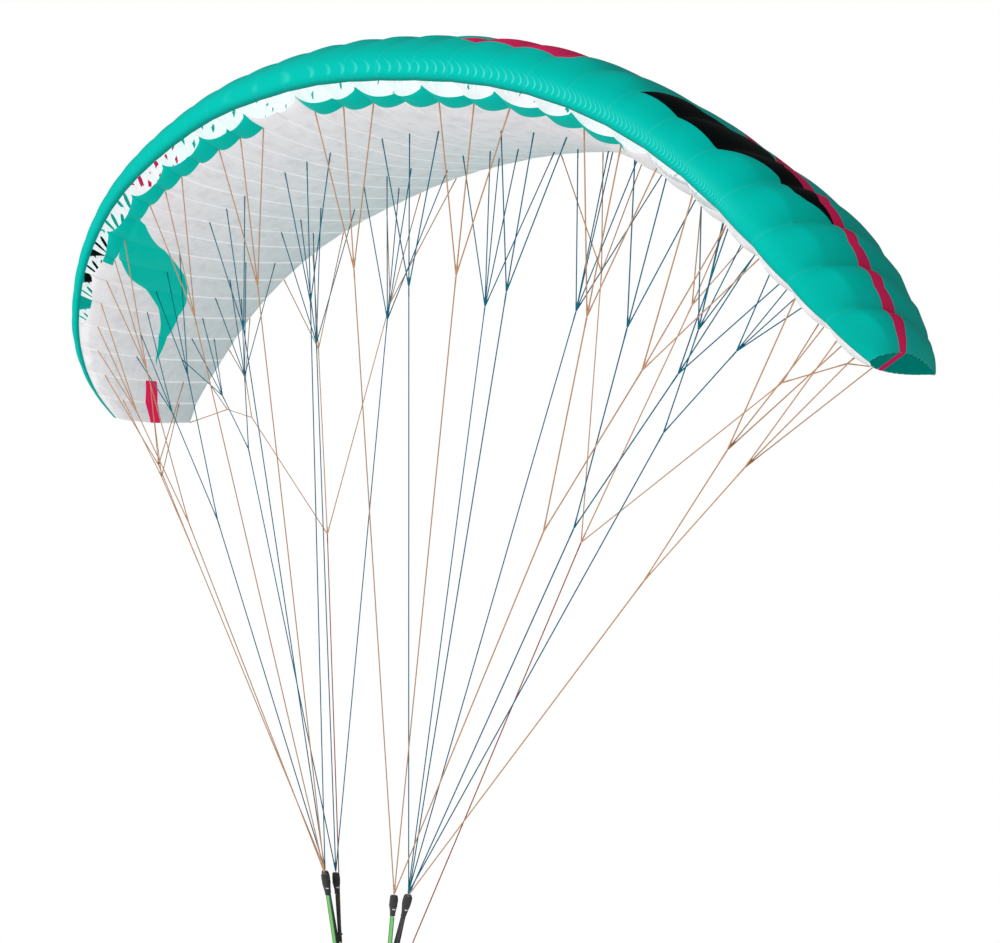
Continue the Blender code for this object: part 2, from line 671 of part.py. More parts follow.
def main():
    for obj in list(bpy.data.objects):
        bpy.data.objects.remove(obj)
    nose_and_top()
    bottom()
    for number in range(1, HALF_CELLS + 1, 2):
        rib(-number)
        rib(number)
    colours = {"A": "line_orange", "B": "line_blue", "C": "line_blue", "brake": "line_brake"}
    for side, mirror in (("left", -1), ("right", 1)):
        risers(side, mirror)
        brake_fittings(side, mirror)
        for row, table in CASCADES.items():
            seat = Vector((0, 0, KNOT_RADIUS + SOLID_GAP))
            feet = {"riser": Vector(RISER_TOPS[row]) + seat} if row in RISER_TOPS else {"handle": Vector(HANDLE_TOP)}
            cascade(f"lines_{row}_{side}", colours[row], mirror, feet, table)


main()
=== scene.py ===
# %% [markdown]
# # Paraglider wing in flight
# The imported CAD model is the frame: it says where each piece is and how big it may be. Every visible piece
# is sewn here in the same metres and rides on the frame's one body. Most stand in for a plain CAD node; the
# ribs between the inlet walls are extra, and the brake guide rings are the CAD's own.
# The order is camera, shape, meshes, materials, lines, skins, ribs, risers and brakes, then light.
# +X runs along the span, -Y points at the leading edge, +Z is up.

# %% Tools and frame
import math

import bpy
import numpy as np
from mathutils import Matrix, Vector


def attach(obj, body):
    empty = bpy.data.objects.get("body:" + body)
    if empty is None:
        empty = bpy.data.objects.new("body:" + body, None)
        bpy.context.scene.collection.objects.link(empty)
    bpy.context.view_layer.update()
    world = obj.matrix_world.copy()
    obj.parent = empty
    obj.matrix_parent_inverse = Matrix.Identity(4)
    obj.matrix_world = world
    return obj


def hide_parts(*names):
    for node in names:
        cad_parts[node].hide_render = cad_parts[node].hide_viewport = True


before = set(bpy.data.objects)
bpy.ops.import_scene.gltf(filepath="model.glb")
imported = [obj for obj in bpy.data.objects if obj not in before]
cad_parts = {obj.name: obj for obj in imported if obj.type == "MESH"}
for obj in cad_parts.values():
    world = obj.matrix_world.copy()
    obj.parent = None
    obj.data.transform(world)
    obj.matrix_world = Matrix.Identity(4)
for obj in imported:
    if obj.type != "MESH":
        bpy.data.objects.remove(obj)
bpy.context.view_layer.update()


# %% [markdown]
# ## Camera
# A wing in flight shows best from ahead and off to one side: the arch, the open inlets and all rows of
# lines are seen at once. The camera stands to the front right, some nine metres from the wing's middle,
# and looks nearly level. Its place, heading and tilt are plain numbers, and three unit axes worked out from
# them make its matrix.

# %% Camera
CAMERA_PLACE = (6.334, -5.602, 3.002)
CAMERA_AZIMUTH = 42.56      # degrees round from the -Y axis towards +X
CAMERA_TILT = -0.99         # degrees that the camera looks down; below 0 it looks up a little
CAMERA_LENS = 46.8          # millimetres on a sensor 36 mm wide

azimuth, tilt = math.radians(CAMERA_AZIMUTH), math.radians(CAMERA_TILT)
backwards = Vector((math.sin(azimuth) * math.cos(tilt), -math.cos(azimuth) * math.cos(tilt), math.sin(tilt)))
rightwards = Vector((math.cos(azimuth), math.sin(azimuth), 0))
upwards = backwards.cross(rightwards)
camera = bpy.data.objects.new("camera", bpy.data.cameras.new("camera"))
camera.data.sensor_width = 36
camera.data.lens = CAMERA_LENS
camera.data.clip_end = 400
axes = Matrix((rightwards, upwards, backwards)).transposed()
camera.matrix_world = Matrix.Translation(CAMERA_PLACE) @ axes.to_4x4()
bpy.context.scene.collection.objects.link(camera)
bpy.context.scene.camera = camera
print("camera at", CAMERA_PLACE)


# %% [markdown]
# ## The wing's shape
# A real wing takes its shape from its ribs: air that is rammed in at the nose fills the cells, and each rib
# holds the profile where it is sewn in. So the shape is a function of two numbers, the rib number across
# the span and the place round the profile, and every piece is read from it. The curves are those of the CAD
# model, read at a finer pitch; the swell between ribs and the flattening of the top have tables of their
# own here.
# Rib 0 is mid span, ribs 17 and -17 are the tips. A rib's outline is in shares of its chord.

# %% Shape tables
HALF_CELLS = 17
HALF_ARC = 4.000            # along the A row, from mid span to a tip
CELL_TAPER = 0.075          # how much cells narrow towards the tips
ROW_HEIGHT = 5.305          # of the A row at mid span
STATION_COLUMNS = ("rib", "arc_deg", "row_y", "chord", "twist_deg", "toe_deg")
STATIONS = (
    (0, 0.0, -0.626, 2.25, 2.9, 0.0),
    (3, 8.2, -0.602, 2.21, 2.8, 0.0),
    (6, 13.4, -0.533, 2.10, 2.7, 0.0),
    (9, 26.6, -0.433, 1.91, 2.3, 0.2),
    (12, 43.4, -0.290, 1.64, 1.9, 1.2),
    (14, 54.0, -0.145, 1.41, 1.9, 2.6),
    (15, 56.3, -0.038, 1.23, 1.2, 3.9),
    (16, 57.0, 0.108, 1.01, 0.4, 4.8),
    (17, 58.5, 0.310, 0.74, 0.9, 1.6),
)
LIP = (0.020, 0.037)
NOSE = (0.000, 0.058)
CREST = (0.270, 0.172)
TAIL = (1.000, 0.000)
TOP_CURVES = (
    (LIP, (0.008, 0.040), (0.000, 0.048), NOSE),
    (NOSE, (-0.004, 0.118), (0.100, 0.172), CREST),
    (CREST, (0.480, 0.172), (0.760, 0.075), TAIL),
)
NOSE_BAND_END = 0.4         # how far along the second curve the nose band reaches
UNDERSIDE = (LIP, (0.040, 0.030), (0.068, 0.014), (0.110, 0.000), (0.350, -0.0345), (0.680, -0.0356),
             (0.840, -0.0211), TAIL)
A_ROW = 0.110
LINE_ROWS = {"A": A_ROW, "B": 0.350, "C": 0.677, "D": 0.838, "tail": 1.000}
# Swell of the cloth at the middle of a cell, as a share of the cell's width, by place along the chord. The
# top's is times a factor by rib.
TOP_BULGE = ((0.00, 0.008), (0.02, 0.012), (0.05, 0.030), (0.12, 0.085), (0.80, 0.085), (1.00, 0.030))
TOP_BULGE_AT_RIB = ((0, 1.0), (9, 1.2), (12, 1.4), (13.2, 2.1), (15, 2.7), (17, 2.4))
# Share of the top's height that is left off, by chord (below 0 the top is fuller), times how much of that
# share holds at a place along the chord.
FLATTER = ((0.74, -0.02), (0.88, -0.06), (1.01, -0.08), (1.23, -0.13), (1.35, -0.14), (1.45, -0.11),
           (1.53, -0.04), (1.60, 0.05), (1.69, 0.14), (1.855, 0.145), (1.94, 0.12), (2.01, 0.09),
           (2.145, 0.00))
FLATTER_ALONG = ((0.09, 0.00), (0.14, 0.15), (0.20, 0.45), (0.25, 0.65), (0.30, 0.82), (0.40, 1.00),
                 (0.60, 1.00), (0.80, 0.80), (1.00, 0.50))
UNDER_BULGE = ((0.02, 0.020), (0.06, 0.120), (0.13, 0.150), (0.35, 0.080), (1.00, 0.015))
SKIN_LIFT = 0.0010          # from a rib's outline to the middle of the skin's thickness
SKIN = 0.0015               # thickness of the CAD model's skins
LINE_RADIUS = 0.0040
LINE_END_GAP = 0.0009       # from a line's tip to the cloth
NORMAL_REACH = 0.004        # a normal is square to the outline over this much each way, in chords
CURVE_STEPS = 200           # in each of the top's curves

# %% Shape functions
def through(xs, ys, x):
    """Smooth curve through the table (xs, ys): cubic pieces whose slopes are the mean of their sides."""
    xs, ys = np.asarray(xs, float), np.asarray(ys, float)
    step = np.diff(xs)
    rise = np.diff(ys) / step
    slope = np.concatenate([[rise[0]], (step[1:] * rise[:-1] + step[:-1] * rise[1:]) / (step[1:] + step[:-1]),
                            [rise[-1]]])
    k = np.clip(np.searchsorted(xs, x, side="right") - 1, 0, len(xs) - 2)
    t = (x - xs[k]) / step[k]
    from_left = ys[k] * (2 * t**3 - 3 * t**2 + 1) + slope[k] * step[k] * (t**3 - 2 * t**2 + t)
    from_right = ys[k + 1] * (3 * t**2 - 2 * t**3) + slope[k + 1] * step[k] * (t**3 - t**2)
    return from_left + from_right


def station(column, rib):
    """Value of one STATIONS column at any rib number, the same on both sides, level at mid span."""
    field = STATION_COLUMNS.index(column)
    rows = sorted({(sign * row[0], row[field]) for row in STATIONS for sign in (-1, 1)})
    return through([r for r, _ in rows], [v for _, v in rows], np.abs(rib))


def arc_length(rib):
    """Distance along the A row from mid span; cells shrink towards the tip."""
    share = np.abs(rib) / HALF_CELLS
    return HALF_ARC * ((1 + CELL_TAPER) * share - CELL_TAPER * share**3)


def cell_width(rib):
    """Width of the cells near a rib: the slope of arc_length."""
    share = np.abs(rib) / HALF_CELLS
    return HALF_ARC / HALF_CELLS * ((1 + CELL_TAPER) - 3 * CELL_TAPER * share**2)


ARC_RIBS = np.linspace(0, HALF_CELLS, 40 * HALF_CELLS + 1)
ARC_ANGLES = np.radians(station("arc_deg", ARC_RIBS))
ARC_STEPS = np.diff(arc_length(ARC_RIBS))
ARC_MIDDLES = (ARC_ANGLES[1:] + ARC_ANGLES[:-1]) / 2
ARC_X = np.concatenate([[0], np.cumsum(ARC_STEPS * np.cos(ARC_MIDDLES))])
ARC_DROP = np.concatenate([[0], np.cumsum(ARC_STEPS * np.sin(ARC_MIDDLES))])


def rib_frame(rib):
    """A row point, unit chord direction, unit outward direction and chord of ribs (an array of numbers). The
    point is the arc's small steps summed. The directions are toe and arc angle, turned by the twist."""
    rib = np.asarray(rib, float)
    side = np.sign(rib)
    x = np.interp(np.abs(rib), ARC_RIBS, ARC_X) * side
    z = ROW_HEIGHT - np.interp(np.abs(rib), ARC_RIBS, ARC_DROP)
    row_point = np.stack([x, station("row_y", rib), z], -1)
    angle = np.radians(station("arc_deg", rib)) * side
    toe = np.radians(station("toe_deg", rib)) * side
    twist = np.radians(station("twist_deg", rib))[..., None]
    nothing = np.zeros_like(x)
    back = np.stack([np.sin(toe), np.cos(toe), nothing], -1)
    out = np.stack([np.sin(angle), nothing, np.cos(angle)], -1)
    out = out - (out * back).sum(-1, keepdims=True) * back
    out = out / np.linalg.norm(out, axis=-1, keepdims=True)
    along = np.cos(twist) * back + np.sin(twist) * out
    out = np.cos(twist) * out - np.sin(twist) * back
    return row_point, along, out, station("chord", rib)


def underside(along):
    """Height of the underside over the A row to tail line, in chords."""
    return through([row[0] for row in UNDERSIDE], [row[1] for row in UNDERSIDE], along)


def cubic(corners, t):
    """Points of a cubic curve: each corner times its Bernstein weight at t."""
    t = np.asarray(t, float)[..., None]
    weights = ((1 - t)**3, 3 * t * (1 - t)**2, 3 * t**2 * (1 - t), t**3)
    return sum(weight * np.array(corner) for weight, corner in zip(weights, corners))


def run_length(points):
    """Length from the first point along a run of points: the sum of the steps so far."""
    return np.concatenate([[0], np.cumsum(np.linalg.norm(np.diff(points, axis=0), axis=1))])


TOP_POINTS = np.concatenate([cubic(curve, np.linspace(0, 1, CURVE_STEPS + 1))[k > 0:]
                             for k, curve in enumerate(TOP_CURVES)])
TOP_LENGTHS = run_length(TOP_POINTS)
TOP_LENGTH = TOP_LENGTHS[-1]
NOSE_LENGTH = float(TOP_LENGTHS[CURVE_STEPS])
BAND_END = CURVE_STEPS + CURVE_STEPS * NOSE_BAND_END
BAND_LENGTH = float(np.interp(BAND_END, np.arange(len(TOP_LENGTHS)), TOP_LENGTHS))


def top_outline(length):
    """Outline points (along, up) at lengths from the lip, round the nose and over the crest, in chords."""
    return np.stack([np.interp(length, TOP_LENGTHS, TOP_POINTS[:, k]) for k in (0, 1)], -1)


def under_outline(share):
    """Outline points (along, up) of the underside at shares of the chord."""
    share = np.asarray(share, float)
    return np.stack([share, underside(share)], -1)


def outward(outline, at, sign):
    """Unit normals of an outline function: its slope over a short reach, turned a quarter."""
    slope = sign * (outline(at + NORMAL_REACH) - outline(at - NORMAL_REACH))
    normal = np.stack([-slope[..., 1], slope[..., 0]], -1)
    return normal / np.linalg.norm(normal, axis=-1, keepdims=True)


def in_space(at_ribs, outline):
    """Outline points (along, up) carried into space at ribs; at_ribs is what rib_frame gives. From the A
    row's point, go along times the chord and up times the chord, less the share of the height left off."""
    row_point, along, out, chord = (value[..., None, :] for value in (*at_ribs[:3], at_ribs[3][..., None]))
    flatter = np.interp(chord, *np.transpose(FLATTER))
    flatter = flatter * np.interp(outline[..., :1], *np.transpose(FLATTER_ALONG))
    up = outline[..., 1:] - flatter * np.maximum(outline[..., 1:], 0)
    return row_point + (outline[..., :1] - A_ROW) * chord * along + up * chord * out


def turned(at_ribs, directions):
    """Directions (along, up) carried into space at ribs."""
    return directions[..., :1] * at_ribs[1][..., None, :] + directions[..., 1:] * at_ribs[2][..., None, :]


def fullness(ribs):
    """How far cloth swells between ribs: 0 at a rib, 1 at the middle of a cell, a parabola between."""
    share = ribs - np.floor(ribs)
    return 4 * share * (1 - share)


def skin_points(ribs, at, top):
    """Points of the upper or lower skin: the outline in space, lifted along its normal by the swell. at holds
    lengths (top) or shares (underside), one row per rib."""
    at = np.broadcast_to(at, (len(ribs), np.shape(at)[-1]))
    outline = top_outline(at) if top else under_outline(at)
    normal = outward(top_outline, at, 1) if top else outward(under_outline, at, -1)
    swell = np.interp(outline[..., 0], *np.transpose(TOP_BULGE if top else UNDER_BULGE))
    if top:
        swell = swell * np.interp(np.abs(ribs), *np.transpose(TOP_BULGE_AT_RIB))[:, None]
    lift = SKIN_LIFT + (fullness(ribs) * cell_width(ribs))[:, None] * swell
    at_ribs = rib_frame(ribs)
    return in_space(at_ribs, outline) + lift[..., None] * turned(at_ribs, normal), outline


print(f"outline length {TOP_LENGTH:.3f} chords, nose band {BAND_LENGTH:.3f}")


# %% [markdown]
# ## Meshes
# Every piece is filled from numpy arrays: a grid of points, its faces, its cloth measure in metres (the UV
# map), and for skins their place on the wing (rib number, share of the chord, length round the outline).
# Modelling by hand would give one fixed form. Arrays keep each panel tied to the tables, and the place lets
# a material put a seam or a colour panel where the sewing is. Solidify then gives a sheet its thickness and
# closes its edges.

# %% Mesh tools
CRISP_ANGLE = math.radians(60)


def mesh_piece(name, points, faces, uv, place, slot, finish, nodes=(), smooth=True):
    """Visible piece from points, four-cornered faces, cloth coordinates and places on the wing."""
    points, faces = np.asarray(points, np.float32), np.asarray(faces, np.int32)
    mesh = bpy.data.meshes.new(name)
    mesh.vertices.add(len(points))
    mesh.vertices.foreach_set("co", points.ravel())
    mesh.loops.add(faces.size)
    mesh.loops.foreach_set("vertex_index", faces.ravel())
    mesh.polygons.add(len(faces))
    mesh.polygons.foreach_set("loop_start", np.arange(0, faces.size, faces.shape[1], dtype=np.int32))
    mesh.update(calc_edges=True)
    mesh.polygons.foreach_set("use_smooth", np.full(len(faces), smooth))
    uv_layer = mesh.uv_layers.new(name="UVMap")
    uv_layer.data.foreach_set("uv", np.asarray(uv, np.float32)[faces.ravel()].ravel())
    if place is not None:
        mesh.attributes.new("place", "FLOAT_VECTOR", "POINT").data.foreach_set(
            "vector", np.asarray(place, np.float32).ravel())
    mesh.materials.append(finish)
    obj = bpy.data.objects.new(name, mesh)
    bpy.context.scene.collection.objects.link(obj)
    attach(obj, "root")
    if nodes:
        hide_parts(*nodes)
    return obj


def grid_faces(rows, columns, wrap=False):
    """Four-cornered faces of a grid numbered row by row; wrap joins its last column to its first."""
    number = np.arange(rows * columns).reshape(rows, columns)
    if wrap:
        number = np.concatenate([number, number[:, :1]], axis=1)
    corners = (number[:-1, :-1], number[:-1, 1:], number[1:, 1:], number[1:, :-1])
    return np.stack([corner.ravel() for corner in corners], -1)


def thicken(obj, thickness):
    """Give a sheet its thickness, half to each side, with its edges closed and kept crisp."""
    solidify = obj.modifiers.new("cloth thickness", "SOLIDIFY")
    solidify.thickness = thickness
    solidify.offset = 0
    solidify.use_even_offset = False
    solid = bpy.data.meshes.new_from_object(obj.evaluated_get(bpy.context.evaluated_depsgraph_get()))
    obj.modifiers.clear()
    flat = obj.data
    solid.set_sharp_from_angle(angle=CRISP_ANGLE)
    obj.data = solid
    bpy.data.meshes.remove(flat)
    solid.name = obj.name


# %% [markdown]
# ## Materials
# A material is a tree of shader nodes. These helpers write it in code: one adds a node, one does a sum, one
# carries a value from range to range, one reads a curve. With them a material reads like a recipe, and
# nothing is painted by hand or loaded from a file.

# %% Node helpers
def put(node, key, value):
    """Set a node's input to a number, a colour or another node's socket."""
    if isinstance(value, bpy.types.NodeSocket):
        node.id_data.links.new(value, node.inputs[key])
    else:
        node.inputs[key].default_value = value


def add(tree, kind, inputs=None, **settings):
    """New shader node with its settings and inputs."""
    node = tree.nodes.new("ShaderNode" + kind)
    for key, value in settings.items():
        setattr(node, key, value)
    for key, value in (inputs or {}).items():
        put(node, key, value)
    return node


def calc(tree, operation, *values):
    """Result of a Math node."""
    return add(tree, "Math", dict(enumerate(values)), operation=operation).outputs[0]


def remap(tree, value, low, high, to_low=0.0, to_high=1.0):
    """Value carried from one range to another and kept inside it."""
    inputs = {"Value": value, "From Min": low, "From Max": high, "To Min": to_low, "To Max": to_high}
    return add(tree, "MapRange", inputs).outputs["Result"]


def mix(tree, factor, first, second):
    """Mix of two colours."""
    node = add(tree, "Mix", data_type="RGBA")
    for key, value in ((0, factor), (6, first), (7, second)):
        put(node, key, value)
    return node.outputs[2]


def ramp_curve(tree, value, points, handle):
    """Value read off a curve through points between (0, 0) and (1, 1), straight or smooth by its handle."""
    node = add(tree, "FloatCurve", {"Value": value})
    curve = node.mapping.curves[0]
    curve.points[0].location, curve.points[1].location = points[0], points[-1]
    for x, y in points[1:-1]:
        curve.points.new(x, y)
    for point in curve.points:
        point.handle_type = handle
    node.mapping.update()
    return node.outputs[0]


def group(name, outputs, inputs=()):
    """New node group with named value inputs and outputs."""
    tree = bpy.data.node_groups.new(name, "ShaderNodeTree")
    for socket, default in inputs:
        made = tree.interface.new_socket(socket, in_out="INPUT", socket_type="NodeSocketFloat")
        made.default_value = default
    for socket in outputs:
        tree.interface.new_socket(socket, in_out="OUTPUT", socket_type="NodeSocketFloat")
    return tree, tree.nodes.new("NodeGroupInput"), tree.nodes.new("NodeGroupOutput")


def use(tree, name, inputs=None):
    """Place a node group in a tree."""
    node = tree.nodes.new("ShaderNodeGroup")
    node.node_tree = bpy.data.node_groups[name]
    for key, value in (inputs or {}).items():
        put(node, key, value)
    return node


def material(name):
    """New material with an empty tree and an output."""
    made = bpy.data.materials.new(name)
    made.use_nodes = True
    made.node_tree.nodes.clear()
    return made, made.node_tree, made.node_tree.nodes.new("ShaderNodeOutputMaterial")


def uv_map(tree):
    """The UV map's two measures and the pair together."""
    pair = add(tree, "UVMap", uv_map="UVMap").outputs[0]
    parts = add(tree, "SeparateXYZ", {0: pair})
    return parts.outputs[0], parts.outputs[1], pair


# %% [markdown]
# ## Weave and seams
# Wing cloth is ripstop: thin nylon with thicker yarns every 5 mm each way, which stop a tear. Along every
# rib the skin is stitched, and it puckers beside the stitches. An image could show both, but rules made of
# nodes stay sharp at any distance. Each is a node group that all cloths share. A group gives back masks and
# heights, and the cloth decides what to do with them.

# %% Shared effects
RIPSTOP_PITCH = 0.005
CELL = 0.24                 # mean width of a cell, which turns rib numbers into metres


def make_ripstop():
    """Ripstop weave: fine yarns with a thicker one every pitch both ways, from the UV map in metres."""
    tree, _, out = group("ripstop", ("Height", "Yarn"))
    across, along, pair = uv_map(tree)
    lines = [remap(tree, calc(tree, "PINGPONG", way, RIPSTOP_PITCH / 2), 0.0003, 0.0006, 1, 0)
             for way in (across, along)]
    square = calc(tree, "MAXIMUM", *lines)
    fine = add(tree, "TexNoise", {"Vector": pair, "Scale": 2500.0, "Detail": 1.0})
    height = calc(tree, "MULTIPLY_ADD", fine.outputs["Fac"], 0.3, calc(tree, "MULTIPLY", square, 0.7))
    tree.links.new(height, out.inputs["Height"])
    tree.links.new(square, out.inputs["Yarn"])


def make_seams():
    """Chordwise seams: a mask that is 1 along every rib, a dashed row of stitches 3 mm beside it, and the
    pucker of the cloth, a stretched noise that fades out away from the rib."""
    tree, group_in, out = group("seams", ("Seam", "Stitch", "Pucker"),
                                (("Width", 0.012), ("Rib", 0.0), ("Length", 0.0)))
    width, rib, length = (group_in.outputs[socket] for socket in ("Width", "Rib", "Length"))
    from_rib = calc(tree, "ABSOLUTE", calc(tree, "SUBTRACT", rib, calc(tree, "ROUND", rib)))
    away = calc(tree, "MULTIPLY", from_rib, CELL)
    seam = remap(tree, away, calc(tree, "MULTIPLY", width, 0.5), width, 1, 0)
    row = remap(tree, calc(tree, "ABSOLUTE", calc(tree, "SUBTRACT", away, 0.003)), 0.0004, 0.0009, 1, 0)
    dashes = calc(tree, "GREATER_THAN", calc(tree, "FRACT", calc(tree, "MULTIPLY", length, 250.0)), 0.35)
    stretched = add(tree, "CombineXYZ", {0: calc(tree, "MULTIPLY", rib, 3.0),
                                         1: calc(tree, "MULTIPLY", length, 28.0)}).outputs[0]
    puckers = add(tree, "TexNoise", {"Vector": stretched, "Scale": 1.0, "Detail": 2.0})
    near = remap(tree, away, 0.0, 0.055, 1, 0)
    tree.links.new(seam, out.inputs["Seam"])
    tree.links.new(calc(tree, "MULTIPLY", row, dashes), out.inputs["Stitch"])
    tree.links.new(calc(tree, "MULTIPLY", near, puckers.outputs["Fac"]), out.inputs["Pucker"])


make_ripstop()
make_seams()
print("node groups:", ", ".join(shared.name for shared in bpy.data.node_groups))


# %% [markdown]
# ## Cloth
# Coated nylon has a satin surface and lets some daylight through, so a skin in the shade still looks
# bright. Following light through both skins would be slow and noisy. Here a satin and a translucent shader
# are mixed, and sheer cloth also gives out a little of its own colour as a painted glow, which stands in
# for the daylight that has soaked through it.

# %% Cloth colours and shader
TEAL = (0.000, 0.560, 0.470, 1)
TEAL_DEEP = (0.000, 0.300, 0.250, 1)
TEAL_PALE = (0.120, 0.850, 0.780, 1)
MAGENTA = (0.800, 0.020, 0.135, 1)
BLACK = (0.002, 0.004, 0.004, 1)
WHITE = (0.830, 0.820, 0.835, 1)


def on_wing(tree):
    """Rib number, its size without sign, share of the chord and length round the outline."""
    parts = add(tree, "SeparateXYZ", {0: add(tree, "Attribute", attribute_name="place").outputs["Vector"]})
    rib = parts.outputs[0]
    return rib, calc(tree, "ABSOLUTE", rib), parts.outputs[1], parts.outputs[2]


def between(tree, rib, share, front, rear, handle="VECTOR"):
    """Mask of a colour panel: 1 where the share lies between two edges, each a table of (rib, share), and the
    rib is past the first place."""
    place = calc(tree, "DIVIDE", rib, HALF_CELLS)
    edges = [ramp_curve(tree, place, [(r / HALF_CELLS, s) for r, s in table], handle)
             for table in (front, rear)]
    inside = calc(tree, "MULTIPLY", calc(tree, "GREATER_THAN", share, edges[0]),
                  calc(tree, "LESS_THAN", share, edges[1]))
    return calc(tree, "MULTIPLY", inside, calc(tree, "GREATER_THAN", rib, front[0][0]))


def cloth(tree, out, colour, height, bump, glow=0.10, clear=0.0, shine=0.04, lit=0.0):
    """Coated nylon: a satin surface, of which the share glow lets light through it and the share clear is
    holes. lit is a painted glow: emission in the cloth's own colour, standing in for daylight that soaks
    through sheer cloth from its other side."""
    normal = add(tree, "Bump", {"Strength": bump, "Distance": 0.004, "Height": height}).outputs[0]
    satin = add(tree, "BsdfPrincipled", {"Base Color": colour, "Roughness": 0.5, "Normal": normal,
                                         "Specular IOR Level": shine, "Emission Color": colour,
                                         "Emission Strength": lit})
    through_it = add(tree, "BsdfTranslucent", {"Color": colour, "Normal": normal})
    both = add(tree, "MixShader", {0: glow, 1: satin.outputs[0], 2: through_it.outputs[0]}).outputs[0]
    if clear:
        holes = add(tree, "BsdfTransparent").outputs[0]
        both = add(tree, "MixShader", {0: clear, 1: both, 2: holes}).outputs[0]
    tree.links.new(both, out.inputs[0])


# %% [markdown]
# ## Upper cloth
# The top is teal, with a magenta stripe and a black wedge of cloth sewn in, and fine gathers where it is
# turned round the nose; their crests are lightened, a painted highlight. Along the lip the teal is darker:
# a hem, and painted shade where the nose turns under. Separate meshes for the stripe would need seams that
# match to the millimetre. As curves over the rib number, the edges step from cell to cell as cut cloth
# does, on one panel. The gathers are a wave along the span that gets shorter towards the tips.

# %% Upper cloth
# Edges of the colour panels: (rib, share of the chord), with straight runs between.
STRIPE_FRONT = ((5.6, .088), (8.35, .088), (8.6, .27), (9, .34), (10, .41), (10.6, .46), (11.2, .48),
                (11.6, .455), (12, .405), (12.55, .292), (13, .340), (13.6, .270), (14, .315), (14.6, .263),
                (15, .310), (15.6, .258), (16, .308), (16.6, .213), (17, .200))
STRIPE_REAR = ((5.6, .088), (6.5, .25), (8, .38), (9, .43), (10, .50), (10.8, .55), (11.2, .57), (11.6, .56),
               (12, .500), (12.55, .365), (13, .430), (13.6, .338), (14, .400), (14.6, .328), (15, .412),
               (15.6, .340), (16, .440), (16.6, .312), (17, .280))
WEDGE_FRONT = ((10.05, .087), (12, .087), (12.5, .165), (12.9, .215), (13.1, .205), (13.4, .185),
               (13.6, .205), (13.9, .285), (14.15, .345))
WEDGE_REAR = ((10.05, .087), (10.3, .19), (10.5, .212), (10.75, .235), (11, .40), (11.3, .38), (11.6, .42),
              (12, .410), (12.55, .297), (13, .345), (13.6, .275), (14, .320), (14.15, .345))
# How many gathers lie between mid span and a rib.
GATHERS = ((0, 0), (2.03, 2), (3.01, 4), (4.12, 7), (5.24, 11), (6.36, 16), (7.65, 22.6), (8.66, 28.6),
           (10.54, 44), (12.35, 64), (13.5, 80))


def make_gathers(tree, size, length, rib):
    """Fine bowed gathers round the nose, closer together towards the tips: crests of a wave whose count is
    read off the rib number, shifted along the span by the square of the distance from the middle of the
    nose. Fainter on the left."""
    middle = calc(tree, "MULTIPLY", calc(tree, "SUBTRACT", length, 0.036), 30.0)
    bowed = calc(tree, "ADD", size, calc(tree, "MULTIPLY", calc(tree, "MULTIPLY", middle, middle), 0.45))
    last_rib, last_count = GATHERS[-1]
    count = ramp_curve(tree, calc(tree, "DIVIDE", bowed, last_rib),
                       [(r / last_rib, c / last_count) for r, c in GATHERS], "AUTO_CLAMPED")
    wave = calc(tree, "PINGPONG", calc(tree, "MULTIPLY", count, last_count), 0.5)
    crest = remap(tree, wave, 0.0, 0.16, 1, 0)
    rise = remap(tree, length, 0.024, 0.032)
    fall = remap(tree, length, 0.040, 0.062, 1, 0)
    ends = calc(tree, "MULTIPLY", remap(tree, size, 12.6, 13.6, 1, 0), remap(tree, rib, -2.0, 6.0, 0.03, 1.0))
    return calc(tree, "MULTIPLY", calc(tree, "MULTIPLY", crest, ends), calc(tree, "MULTIPLY", rise, fall))


def make_upper_cloth():
    """Teal upper cloth with the magenta stripe and the black wedge, seams, puckers, nose gathers with a
    painted highlight, and a hem along the lip darkened further by painted shade.
    """
    made, tree, out = material("upper cloth")
    rib, size, share, length = on_wing(tree)
    weave = use(tree, "ripstop")
    seams = use(tree, "seams", {"Rib": rib, "Length": calc(tree, "MULTIPLY", length, 1.9), "Width": 0.007})
    on_object = add(tree, "TexCoord").outputs["Object"]
    blotch = add(tree, "TexNoise", {"Vector": on_object, "Scale": 2.2, "Detail": 3.0})
    teal = mix(tree, remap(tree, blotch.outputs["Fac"], 0.3, 0.7, 0.0, 0.08), TEAL, TEAL_DEEP)
    # A darker band along the lip: partly a hem, partly painted shade where the nose turns under.
    hem_and_painted_shade = remap(tree, length, 0.006, 0.016, 1, 0)
    teal = mix(tree, calc(tree, "MULTIPLY", hem_and_painted_shade, 0.55), teal, TEAL_DEEP)
    teal = mix(tree, calc(tree, "MULTIPLY", seams.outputs["Seam"], 0.06), teal, TEAL_PALE)
    gathers_and_painted_highlight = make_gathers(tree, size, length, rib)
    # The gather crests are mixed towards pale teal: a painted highlight. The same mask also gives bumps
    # below.
    teal = mix(tree, calc(tree, "MULTIPLY", gathers_and_painted_highlight, 0.65), teal, TEAL_PALE)
    stripe = between(tree, size, share, STRIPE_FRONT, STRIPE_REAR)
    wedge = between(tree, size, share, WEDGE_FRONT, WEDGE_REAR)
    colour = mix(tree, wedge, mix(tree, stripe, teal, MAGENTA), BLACK)
    height = calc(tree, "MULTIPLY", seams.outputs["Stitch"], 0.3)
    for bumps, strength in ((gathers_and_painted_highlight, 0.5), (seams.outputs["Pucker"], 0.7), (weave.outputs["Height"], 0.06)):
        height = calc(tree, "MULTIPLY_ADD", bumps, strength, height)
    cloth(tree, out, colour, height, bump=0.35)
    return made


UPPER = make_upper_cloth()
print("made", UPPER.name)
